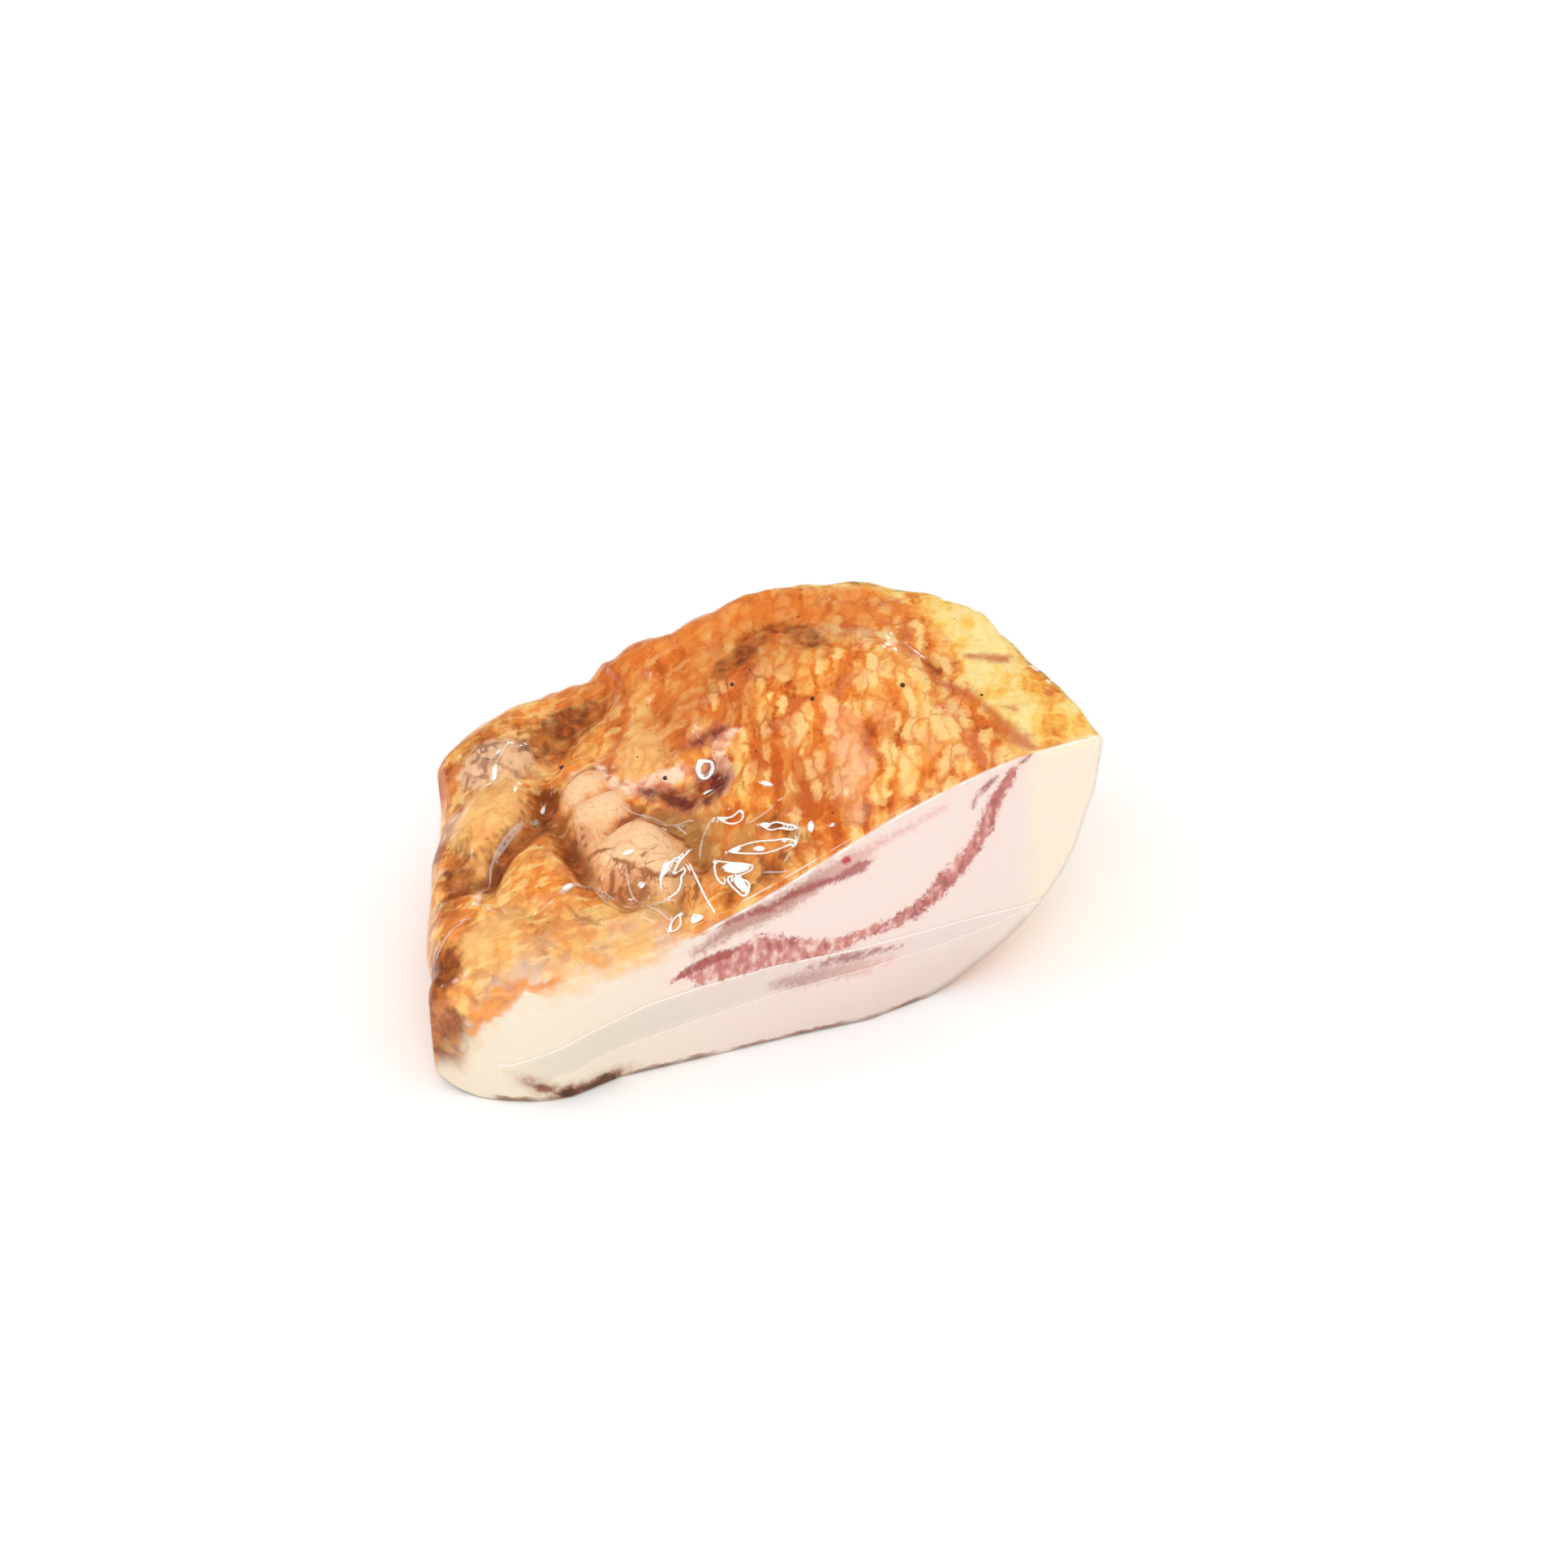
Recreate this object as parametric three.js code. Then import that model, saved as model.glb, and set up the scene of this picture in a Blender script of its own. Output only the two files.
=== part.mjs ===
// A thick slice of guanciale, cured pork jowl, sealed tight in clear film. It lies on its rind: one
// side is the flat cut across the jowl, and the top is the lobed inner side with its glands and fat.
// x runs along the cut, y goes from the cut to the far side, z is up. Lengths are in millimetres.

import * as THREE from "three";
import { mergeVertices } from "three/addons/utils/BufferGeometryUtils.js";

// Driving dimensions
const CUT_LENGTH = 174.5; // along the cut face
const SLICE_DEPTH = { left: 108, right: 88 }; // from the cut face to the far side
const LOW_HEIGHT = { cut: 37.5, back: 46 }; // the thin left end
const HIGH_HEIGHT = 66.5; // the thick right end
const CROWN_X = 112.5; // where the rind starts to curve up towards the right end
const LEFT_SIDE = 1.5; // where the left side starts at the cut
const LEFT_SLANT = 0.33; // how far it leans in for each millimetre of depth
const LEFT_CURVE = 9; // how much further it curves in towards the far side
const CUT_BULGE = 2.5; // how far the soft fat swells out of the cut at its middle

// The inner side climbs from the low end to the high end between these two places
const CLIMB = { cut: [43.5, 162.5], back: [60, 119] };

// How square the plan and the edges are: 2 is a round corner, 8 is nearly a sharp one
const PLAN_POWER = { left: 8, back: 5, right: 3.6 };
const UPPER_POWER = { left: 4, back: 3.8, right: 9 };
const LOWER_POWER = { left: 7, back: 3.4, right: 2 };
const SHOULDER_DROP = 5; // from the top to the widest level at the thick end
const RIND_SINK = 1.6; // how much of the rounded rind is pressed flat by the slice's weight

// The left corner of the cut is trimmed back, and the upper edge of the cut is soft up to x = 72
const TRIM_LENGTH = 36;
const TRIM_DEPTH = 18;
const TRIM_SIDE = 4;
const SOFT_EDGE = 13;
const SOFT_EDGE_END = 72;

// Net of the surface: pieces along the cut, through the depth and up the height
const NET = { long: 54, deep: 32, high: 14 };

// Fat lobes and glands of the inner side, as pillows: the middle, half the length and half the
// width, the turn of the long side from the x axis in degrees, and the rise over the slice
const LOBES = [
  { name: "gland finger", x: 60, y: 27, half: [21, 11.5], turn: 112, rise: 6.5 },
  { name: "gland knuckle", x: 61, y: 46, half: [12, 9.5], turn: 60, rise: 6.5 },
  { name: "gland root", x: 64, y: 60, half: [9, 8.5], turn: 30, rise: 4.5 },
  { name: "corner ridge", x: 44, y: 89, half: [19, 14], turn: 25, rise: 6.5 },
  { name: "pear lobe", x: 35, y: 56, half: [18, 10.5], turn: 66, rise: 6 },
  { name: "side lobe", x: 38, y: 31, half: [13, 9.5], turn: 35, rise: 5 },
  { name: "left bump", x: 21, y: 46, half: [9, 7], turn: 66, rise: 3.5 },
  { name: "low left lobe", x: 15, y: 27, half: [11, 8], turn: 60, rise: 4 },
  { name: "front left lobe", x: 26, y: 19, half: [12, 8], turn: 20, rise: 4 },
  { name: "front lobe", x: 43, y: 14, half: [13, 7], turn: 0, rise: 3 },
  { name: "notch bump", x: 62, y: 75, half: [8, 7], turn: 0, rise: 4.5 },
  { name: "back left lobe", x: 67, y: 100, half: [12, 8], turn: 0, rise: 3.5 },
  { name: "amber lobe", x: 83, y: 57, half: [18, 15], turn: 30, rise: 6 },
  { name: "front amber lobe", x: 94, y: 30, half: [12, 9], turn: 75, rise: 4 },
  { name: "back shoulder", x: 96, y: 90, half: [19, 16], turn: 0, rise: 5 },
  { name: "crown", x: 117, y: 50, half: [27, 26], turn: 0, rise: 3.5 },
  { name: "pale ridge", x: 118, y: 25, half: [22, 9], turn: 84, rise: 6 },
  { name: "right lobe", x: 138, y: 44, half: [22, 12], turn: 96, rise: 5.5 },
  { name: "front right lobe", x: 138, y: 18, half: [14, 9], turn: 80, rise: 4 },
];

// Valleys between the lobes: points along each one, its half width and its depth
const VALLEYS = [
  {
    name: "long valley",
    path: [[88, 106], [66, 84], [53, 71], [48, 42], [50, 24], [57, 12]],
    half: 6.5,
    depth: 2.8,
  },
  { name: "gland hollow", path: [[92, 44], [84, 38], [76, 31], [73, 18]], half: 7.5, depth: 4 },
  { name: "left valley", path: [[50, 64], [40, 51], [29, 41], [14, 42]], half: 4.5, depth: 2.4 },
  { name: "pinch", path: [[29, 41], [26, 30], [33, 20]], half: 4, depth: 2 },
  { name: "crown crease", path: [[126, 72], [110, 40], [103, 18]], half: 4, depth: 2 },
  { name: "band crease", path: [[150, 64], [147, 26], [152, 6]], half: 4, depth: 1.5 },
];

const LOBE_BLEND = 1.6; // how softly one lobe runs into the next

const LOBULE = { spacing: 10.5, rise: 1.1, seed: 7 }; // small fat lobules all over the inner side
const FILM_SPAN = 1.8; // the film bridges dips narrower than this
const RELIEF_START = 1.5; // no relief this close to the cut
const RELIEF_FULL = 13; // full relief this far behind it
const SIDE_RELIEF = 0.4; // share of the relief that carries on down the sides

const clamp01 = (t) => Math.min(1, Math.max(0, t));
const mix = (a, b, t) => a + (b - a) * t;
function smoothStep(from, to, t) {
  const k = clamp01((t - from) / (to - from));
  return k * k * (3 - 2 * k);
}
const power = (a, b, p) => (Math.abs(a) ** p + Math.abs(b) ** p) ** (1 / p);
// From the left value over the back value to the right one, for t from 0 to 1
function round(values, t) {
  if (t < 0.5) return mix(values.left, values.back, 2 * t);
  return mix(values.back, values.right, 2 * t - 1);
}

// Height of the inner side over the floor, without its lobes
function topHeight(x, y) {
  const back = clamp01(y / SLICE_DEPTH.right);
  const from = mix(CLIMB.cut[0], CLIMB.back[0], back);
  const to = mix(CLIMB.cut[1], CLIMB.back[1], back);
  const low = mix(LOW_HEIGHT.cut, LOW_HEIGHT.back, back);
  return mix(low, HIGH_HEIGHT, smoothStep(from, to, x));
}

// Level at which the slice is widest: half way up at the thin end, near the top at the thick end
function widestLevel(x, y) {
  const top = topHeight(x, y);
  return mix(0.5 * top, top - SHOULDER_DROP, smoothStep(52, 147, x));
}

// Moves a point of a box, x and z from -1 to 1 and y from 0 at the cut to 1, onto the bare slice
function ontoSlice(point) {
  const share = CROWN_X / CUT_LENGTH;
  const along = (point.x + 1) / 2;
  const side = along < share ? (along - share) / share : (along - share) / (1 - share);
  const deep = point.y;
  const high = point.z;
  const ring = Math.max(Math.abs(side), deep);
  const shell = Math.max(ring, Math.abs(high));
  const turn = ring > 0 ? smoothStep(-1, 1, side / Math.hypot(side, deep)) : 0.5;
  const planSize = power(side, deep, round(PLAN_POWER, turn)) || 1;
  const edge = mix(round(LOWER_POWER, turn), round(UPPER_POWER, turn), smoothStep(-0.3, 0.3, high));
  const edgeSize = power(ring, high, edge) || 1;
  const reach = (ring * shell) / edgeSize;
  const level = (high * shell) / edgeSize;
  const depth = mix(SLICE_DEPTH.left, SLICE_DEPTH.right, smoothStep(0.05, 1, along));
  const y = (deep / planSize) * reach * depth;
  const leftReach = CROWN_X - LEFT_SIDE - LEFT_SLANT * y - LEFT_CURVE * (y / depth) ** 4;
  const x = CROWN_X + (side / planSize) * reach * (side < 0 ? leftReach : CUT_LENGTH - CROWN_X);
  const widest = widestLevel(x, y);
  const z = level > 0 ? mix(widest, topHeight(x, y), level) : mix(widest, -RIND_SINK, -level);
  return shapeCut(x, y, Math.max(0, z));
}

// Swells the cut a little, trims its left corner back and rounds its upper edge towards the left
function shapeCut(x, y, z) {
  const nearCut = 1 - smoothStep(0, 38, y);
  const corner = clamp01(1 - x / TRIM_LENGTH) ** 2;
  const swell = (1 - (x / CROWN_X - 0.8) ** 2) * (1 - (2 * z / HIGH_HEIGHT - 0.7) ** 2);
  const soft = SOFT_EDGE * (1 - smoothStep(SOFT_EDGE_END - 50, SOFT_EDGE_END, x)) + 0.1;
  const down = clamp01(1 - (topHeight(x, y) - z) / soft);
  const back = clamp01(1 - y / soft);
  const fillet = (share) => soft * (1 - Math.cos(share * Math.PI / 4));
  return new THREE.Vector3(
    x + TRIM_SIDE * corner * nearCut,
    y + (TRIM_DEPTH * corner - CUT_BULGE * Math.max(0, swell)) * nearCut + fillet(down) * back,
    z - fillet(back) * down
  );
}

// Share of a pillow's rise at a place: 1 at its middle and 0 from its rim on, with steep sides
function pillow(lobe, x, y) {
  const turn = THREE.MathUtils.degToRad(lobe.turn);
  const dx = x - lobe.x;
  const dy = y - lobe.y;
  const along = (dx * Math.cos(turn) + dy * Math.sin(turn)) / lobe.half[0];
  const across = (dy * Math.cos(turn) - dx * Math.sin(turn)) / lobe.half[1];
  return Math.max(0, 1 - along * along - across * across) ** 0.9;
}

// Distance from a place to a line through several points
function distanceToPath(path, x, y) {
  let nearest = Infinity;
  for (let i = 1; i < path.length; i++) {
    const [ax, ay] = path[i - 1];
    const [bx, by] = path[i];
    const t = clamp01(((x - ax) * (bx - ax) + (y - ay) * (by - ay)) / ((bx - ax) ** 2 + (by - ay) ** 2));
    nearest = Math.min(nearest, Math.hypot(x - mix(ax, bx, t), y - mix(ay, by, t)));
  }
  return nearest;
}

// A number from 0 to 1 that stays the same for the same cell
function cellNumber(i, j, k) {
  const wave = Math.sin(i * 127.1 + j * 311.7 + k * 74.7 + LOBULE.seed) * 43758.5453;
  return wave - Math.floor(wave);
}

// Height of the small lobules: each is a dome round a jittered grid point
function lobules(x, y) {
  const cellX = Math.floor(x / LOBULE.spacing);
  const cellY = Math.floor(y / LOBULE.spacing);
  let nearest = Infinity;
  for (let i = cellX - 1; i <= cellX + 1; i++)
    for (let j = cellY - 1; j <= cellY + 1; j++) {
      const px = (i + cellNumber(i, j, 1)) * LOBULE.spacing;
      const py = (j + cellNumber(i, j, 2)) * LOBULE.spacing;
      nearest = Math.min(nearest, Math.hypot(x - px, y - py));
    }
  return LOBULE.rise * (1 - clamp01(nearest / LOBULE.spacing) ** 2);
}

// The larger of two heights, blended where they meet
function smoothMax(a, b) {
  const blend = Math.max(0, 1 - Math.abs(a - b) / LOBE_BLEND);
  return Math.max(a, b) + (LOBE_BLEND * blend * blend) / 4;
}

// Relief of the inner side at a place, in millimetres along the surface's normal
function relief(x, y) {
  let rise = 0;
  for (const lobe of LOBES) rise = smoothMax(rise, lobe.rise * pillow(lobe, x, y));
  for (const valley of VALLEYS) {
    const off = distanceToPath(valley.path, x, y) / valley.half;
    rise -= valley.depth * Math.exp(-off * off);
  }
  return rise + lobules(x, y);
}

// The relief smoothed over a small cross, as the film bridges its narrowest places
function filmRelief(x, y) {
  const sides = relief(x - FILM_SPAN, y) + relief(x + FILM_SPAN, y);
  const ends = relief(x, y - FILM_SPAN) + relief(x, y + FILM_SPAN);
  return (relief(x, y) + sides + ends) / 5;
}

// Splits every square of the net along its shorter diagonal, so ridges run clean
function useShorterDiagonals(geometry) {
  const index = geometry.getIndex();
  const position = geometry.getAttribute("position");
  const corner = (i) => new THREE.Vector3().fromBufferAttribute(position, i);
  for (let i = 0; i < index.count; i += 6) {
    const [a, b, d, , c] = index.array.slice(i, i + 5);
    if (corner(a).distanceTo(corner(c)) < corner(b).distanceTo(corner(d))) {
      index.array.set([a, b, c, a, c, d], i);
    }
  }
}

function sliceGeometry() {
  const box = new THREE.BoxGeometry(2, 1, 2, NET.long, NET.deep, NET.high);
  box.deleteAttribute("normal");
  box.deleteAttribute("uv");
  const slice = mergeVertices(box, 1e-4);
  const position = slice.getAttribute("position");
  const point = new THREE.Vector3();
  for (let i = 0; i < position.count; i++) {
    point.fromBufferAttribute(position, i);
    point.y += 0.5;
    position.setXYZ(i, ...ontoSlice(point).toArray());
  }
  slice.computeVertexNormals();
  const normal = slice.getAttribute("normal");
  const push = new THREE.Vector3();
  for (let i = 0; i < position.count; i++) {
    point.fromBufferAttribute(position, i);
    push.fromBufferAttribute(normal, i);
    const offCut = smoothStep(RELIEF_START, RELIEF_FULL, point.y);
    const offRind = smoothStep(0.15, 0.75, point.z / topHeight(point.x, point.y));
    const facingUp = Math.max(SIDE_RELIEF, push.z);
    point.addScaledVector(push, filmRelief(point.x, point.y) * offCut * offRind * facingUp);
    position.setXYZ(i, ...point.toArray());
  }
  useShorterDiagonals(slice);
  slice.deleteAttribute("normal");
  slice.computeBoundingBox();
  const { min, max } = slice.boundingBox;
  slice.translate(-(min.x + max.x) / 2, -(min.y + max.y) / 2, -min.z);
  slice.computeVertexNormals();
  return slice;
}

const curedFat = new THREE.MeshStandardMaterial({ color: 0xe0963f, roughness: 0.3, metalness: 0 });

const slice = new THREE.Mesh(sliceGeometry(), curedFat);
slice.name = "guanciale_in_film";

const guanciale = new THREE.Group();
guanciale.add(slice);

export default guanciale;
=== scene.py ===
# %% [markdown]
# # A thick slice of guanciale, sealed in clear film
#
# Guanciale is cured pork jowl. This is one thick slice of it: the flat side is the cut across the
# jowl, with white fat and rose streaks of lean, and the top is the inner side of the jowl, with
# amber lobules of fat, soft lobes and one pale gland. The slice is sealed in clear film that clings
# to the high places and bridges the low ones.
#
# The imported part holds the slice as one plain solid. Here it is replaced by two meshes that share
# its shape: the meat with its relief, and the film over it. A few pepper specks lie between them.

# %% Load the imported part
import math

import bpy
import numpy as np
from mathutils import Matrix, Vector


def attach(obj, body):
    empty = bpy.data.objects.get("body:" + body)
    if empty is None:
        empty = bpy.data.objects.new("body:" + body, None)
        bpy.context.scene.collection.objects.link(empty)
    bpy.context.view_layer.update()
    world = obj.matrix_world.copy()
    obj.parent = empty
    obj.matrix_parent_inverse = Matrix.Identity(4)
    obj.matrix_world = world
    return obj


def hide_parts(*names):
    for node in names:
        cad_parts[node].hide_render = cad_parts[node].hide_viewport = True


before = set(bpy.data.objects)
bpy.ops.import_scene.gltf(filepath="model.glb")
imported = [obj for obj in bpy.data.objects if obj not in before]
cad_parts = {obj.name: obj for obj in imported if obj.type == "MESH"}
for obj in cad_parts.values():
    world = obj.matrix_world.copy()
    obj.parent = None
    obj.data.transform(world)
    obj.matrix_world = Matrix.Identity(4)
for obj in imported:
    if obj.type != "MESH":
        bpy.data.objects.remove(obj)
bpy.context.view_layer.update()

# %% [markdown]
# ## The camera
#
# The photo looks down on the slice from its thin end, at 36 degrees over the table, with a long
# lens that hardly narrows the far side. The slice is small, so a metre of distance is enough.

# %% Camera
EYE = (-0.30237, -0.73360, 0.61779)
AIM = (0.02620, 0.00569, 0.030)
LENS = 90
SENSOR = 36


def add_object(name, data):
    thing = bpy.data.objects.new(name, data)
    bpy.context.scene.collection.objects.link(thing)
    return thing


def stand(thing, place, aim):
    """Puts a camera or a lamp at a place and turns it towards its aim."""
    thing.location = place
    thing.rotation_euler = (Vector(aim) - Vector(place)).to_track_quat("-Z", "Y").to_euler()


lens = bpy.data.cameras.new("photo_lens")
lens.lens = LENS
lens.sensor_width = SENSOR
camera = add_object("photo_camera", lens)
stand(camera, EYE, AIM)
bpy.context.scene.camera = camera
print("camera distance in metres:", round(math.dist(EYE, AIM), 3))

# %% [markdown]
# ## Node trees as Python expressions
#
# Materials and Geometry Nodes are both graphs of nodes. Wiring each one by hand takes many lines, so
# small classes do it. A `Wire` wraps one socket, and Python's operators on it add Math nodes, so
# `1 - mask` builds a real Subtract node. A `Bench` adds any other node to its tree: its type first,
# then its settings, then what goes into its sockets. A `Paint` is the bench of one new material.

# %% Wire
def sum_of(operation):
    """A method that adds one Math node, for a wire and up to one other wire or number."""
    return lambda wire, *other: wire.bench.node("ShaderNodeMath", {"operation": operation}, (wire, *other))


class Wire:
    """One output socket. Sums of wires and numbers add Math nodes to its tree."""

    def __init__(self, bench, socket):
        self.bench = bench
        self.socket = socket

    __add__ = __radd__ = sum_of("ADD")
    __sub__ = sum_of("SUBTRACT")
    __mul__ = __rmul__ = sum_of("MULTIPLY")
    __truediv__ = sum_of("DIVIDE")
    at_least = sum_of("MAXIMUM")
    at_most = sum_of("MINIMUM")
    absolute = sum_of("ABSOLUTE")
    sine = sum_of("SINE")

    def __rsub__(self, number):
        return self.bench.node("ShaderNodeMath", {"operation": "SUBTRACT"}, (number, self))

    def ramp(self, low, high):
        """0 below low, 1 above high and a soft step between them."""
        inputs = {"Value": self, "From Min": low, "From Max": high}
        return self.bench.node("ShaderNodeMapRange", {"interpolation_type": "SMOOTHSTEP"}, inputs)

    def painted(self, step):
        """Flat tones with quick borders between them, as blotches of fat have."""
        return self - (self * (2 * math.pi / step)).sine() * (step / 2 / math.pi * 0.85)


# %% Bench
def from_screen(red, green, blue):
    """A colour read off a screen, 0 to 255, as the linear values that shaders use."""
    values = [channel / 255 for channel in (red, green, blue)]
    return tuple(v / 12.92 if v < 0.04045 else ((v + 0.055) / 1.055) ** 2.4 for v in values)


class Bench:
    """Adds nodes to one tree."""

    def __init__(self, tree):
        self.tree = tree

    def node(self, kind, settings=None, inputs=None, out=0):
        node = self.tree.nodes.new(kind)
        for name, value in (settings or {}).items():
            setattr(node, name, value)
        pairs = inputs.items() if isinstance(inputs, dict) else enumerate(inputs or ())
        for key, value in pairs:
            self.feed(node.inputs[key], value)
        return Wire(self, node.outputs[out])

    def feed(self, socket, value):
        if isinstance(value, Wire):
            self.tree.links.new(value.socket, socket)
        elif isinstance(value, tuple) and len(value) == 3 and socket.type == "RGBA":
            socket.default_value = (*value, 1)
        else:
            socket.default_value = value

    def vector(self, operation, *values, out=0):
        return self.node("ShaderNodeVectorMath", {"operation": operation}, values, out)

    def scaled(self, vector, share):
        return self.node("ShaderNodeVectorMath", {"operation": "SCALE"}, {0: vector, "Scale": share})

    def noise(self, place, scale, detail=2.0, roughness=0.5, out="Fac", distortion=0.0):
        inputs = {"Vector": place, "Scale": scale, "Detail": detail, "Roughness": roughness,
                  "Distortion": distortion}
        return self.node("ShaderNodeTexNoise", None, inputs, out)

    def noise_shift(self, place, scale, detail, roughness):
        """A random vector of up to a half each way."""
        return self.vector("SUBTRACT", self.noise(place, scale, detail, roughness, "Color"), (0.5, 0.5, 0.5))

    def cells(self, place, feature="DISTANCE_TO_EDGE", out="Distance", **more):
        inputs = {"Vector": place, "Scale": 1.0, "Randomness": 1.0, **more}
        return self.node("ShaderNodeTexVoronoi", {"feature": feature, "voronoi_dimensions": "3D"}, inputs, out)

    def blend(self, share, first, second):
        """Mixes two colours by a share from 0 to 1."""
        return self.node("ShaderNodeMix", {"data_type": "RGBA"}, {0: share, 6: first, 7: second}, out=2)

    def tones(self, value, *stops):
        """A colour for each value, from stops that give a value and a screen colour."""
        wire = self.node("ShaderNodeValToRGB", None, {"Fac": value}, out="Color")
        ramp = wire.socket.node.color_ramp
        while len(ramp.elements) < len(stops):
            ramp.elements.new(0.5)
        for element, (place, colour) in zip(ramp.elements, stops):
            element.position = place
            element.color = (*from_screen(*colour), 1)
        return wire


# %% Paint
class Paint(Bench):
    """A bench for a new material, whose patterns lie on the piece's own coordinates."""

    def __init__(self, name):
        self.material = bpy.data.materials.new(name)
        self.material.use_nodes = True
        super().__init__(self.material.node_tree)
        self.tree.nodes.clear()
        self.metres = self.node("ShaderNodeTexCoord", out="Object")

    def number(self, name):
        """A number that lies on the points of the mesh."""
        return self.node("ShaderNodeAttribute", {"attribute_name": name}, out="Fac")

    def mixed(self, share, first, second):
        return self.node("ShaderNodeMixShader", None, [share, first, second])

    def finish(self, surface):
        out = self.tree.nodes.new("ShaderNodeOutputMaterial")
        self.tree.links.new(surface.socket, out.inputs["Surface"])
        print(f"{self.material.name}: {len(self.tree.nodes)} nodes")


print("helpers ready")

# %% [markdown]
# ## The bare slice
#
# The part's source bends a box into the slice: the plan and the edges are rounded squares, the top
# climbs from the thin end to the thick end, and the cut stays flat. The same rule is repeated here
# with a much finer net, of 92,200 squares, so that lobules and folds of the film become geometry.
# Lengths are in millimetres, x along the cut, y back from it and z up, until a mesh is made.

# %% Sizes of the slice
CUT_LENGTH = 174.5
DEPTH = {"left": 108, "right": 88}
LOW_HEIGHT = {"cut": 37.5, "back": 46}
HIGH_HEIGHT = 66.5
CLIMB = {"cut": (43.5, 162.5), "back": (60, 119)}  # x where the top starts and ends to climb
MIDDLE = np.array((90.001, 52.106, 0))  # the slice's own middle, which is the part's origin


def mix(low, high, share):
    return low + (high - low) * share


def smooth_step(low, high, value):
    share = np.clip((value - low) / (high - low), 0, 1)
    return share * share * (3 - 2 * share)


def top_height(x, y):
    back = np.clip(y / DEPTH["right"], 0, 1)
    start = mix(CLIMB["cut"][0], CLIMB["back"][0], back)
    end = mix(CLIMB["cut"][1], CLIMB["back"][1], back)
    return mix(mix(LOW_HEIGHT["cut"], LOW_HEIGHT["back"], back), HIGH_HEIGHT, smooth_step(start, end, x))


print("top height at the thin and the thick end:", top_height(10, 5), top_height(165, 5))

# %% The box net
NET = (220, 130, 50)


def box_net(nx, ny, nz):
    """Six sides of a box as one closed net: corner numbers (i, j, k) and squares that face outwards."""

    def side(fixed, u, v, outwards):
        a, b = np.meshgrid(np.arange(u), np.arange(v), indexing="ij")
        ring = [(a, b), (a + 1, b), (a + 1, b + 1), (a, b + 1)]
        corners = np.stack([fixed(p, q) for p, q in ring], 2).reshape(-1, 4, 3)
        return corners if outwards else corners[:, ::-1]

    def stack(i, j, k):
        return np.stack(np.broadcast_arrays(i, j, k), -1)

    squares = np.concatenate([
        side(lambda p, q: stack(p, q, nz), nx, ny, True),
        side(lambda p, q: stack(p, q, 0), nx, ny, False),
        side(lambda p, q: stack(p, 0, q), nx, nz, True),
        side(lambda p, q: stack(p, ny, q), nx, nz, False),
        side(lambda p, q: stack(nx, p, q), ny, nz, True),
        side(lambda p, q: stack(0, p, q), ny, nz, False),
    ])
    keys = (squares[..., 0] * (ny + 1) + squares[..., 1]) * (nz + 1) + squares[..., 2]
    _, first, number = np.unique(keys.ravel(), return_index=True, return_inverse=True)
    return squares.reshape(-1, 3)[first], number.reshape(-1, 4)


CORNERS, SQUARES = box_net(*NET)
print("net:", len(CORNERS), "points,", len(SQUARES), "squares")

# %% Bend the box into the slice
CROWN_X = 112.5
LEFT_SIDE, LEFT_SLANT, LEFT_CURVE = 1.5, 0.33, 9
PLAN_POWER = (8, 5, 3.6)  # how square the outline is at the left, the back and the right
UPPER_POWER = (4, 3.8, 9)
LOWER_POWER = (7, 3.4, 2)
SHOULDER_DROP = 5
RIND_SINK = 1.6


def round_power(values, turn):
    left, back, right = values
    return np.where(turn < 0.5, mix(left, back, 2 * turn), mix(back, right, 2 * turn - 1))


def super_size(a, b, power):
    size = (np.abs(a) ** power + np.abs(b) ** power) ** (1 / power)
    return np.where(size == 0, 1, size)


def onto_slice(corners):
    along, deep, high = (corners / np.array(NET)).T
    high = 2 * high - 1
    crown = CROWN_X / CUT_LENGTH
    side = np.where(along < crown, (along - crown) / crown, (along - crown) / (1 - crown))
    ring = np.maximum(np.abs(side), deep)
    shell = np.maximum(ring, np.abs(high))
    length = np.hypot(side, deep)
    turn = np.where(ring > 0, smooth_step(-1, 1, side / np.where(length == 0, 1, length)), 0.5)
    plan = super_size(side, deep, round_power(PLAN_POWER, turn))
    upper = smooth_step(-0.3, 0.3, high)
    edge = super_size(ring, high, mix(round_power(LOWER_POWER, turn), round_power(UPPER_POWER, turn), upper))
    reach, level = ring * shell / edge, high * shell / edge
    depth = mix(DEPTH["left"], DEPTH["right"], smooth_step(0.05, 1, along))
    y = deep / plan * reach * depth
    left = CROWN_X - LEFT_SIDE - LEFT_SLANT * y - LEFT_CURVE * (y / depth) ** 4
    x = CROWN_X + side / plan * reach * np.where(side < 0, left, CUT_LENGTH - CROWN_X)
    top = top_height(x, y)
    widest = mix(0.5 * top, top - SHOULDER_DROP, smooth_step(52, 147, x))
    z = np.where(level > 0, mix(widest, top, level), mix(widest, -RIND_SINK, -level))
    return x, y, np.maximum(0, z)


# %% Shape the cut
CUT_BULGE = 2.5
TRIM = {"length": 36, "depth": 18, "side": 4}
SOFT_EDGE = 13
SOFT_EDGE_END = 72


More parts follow.
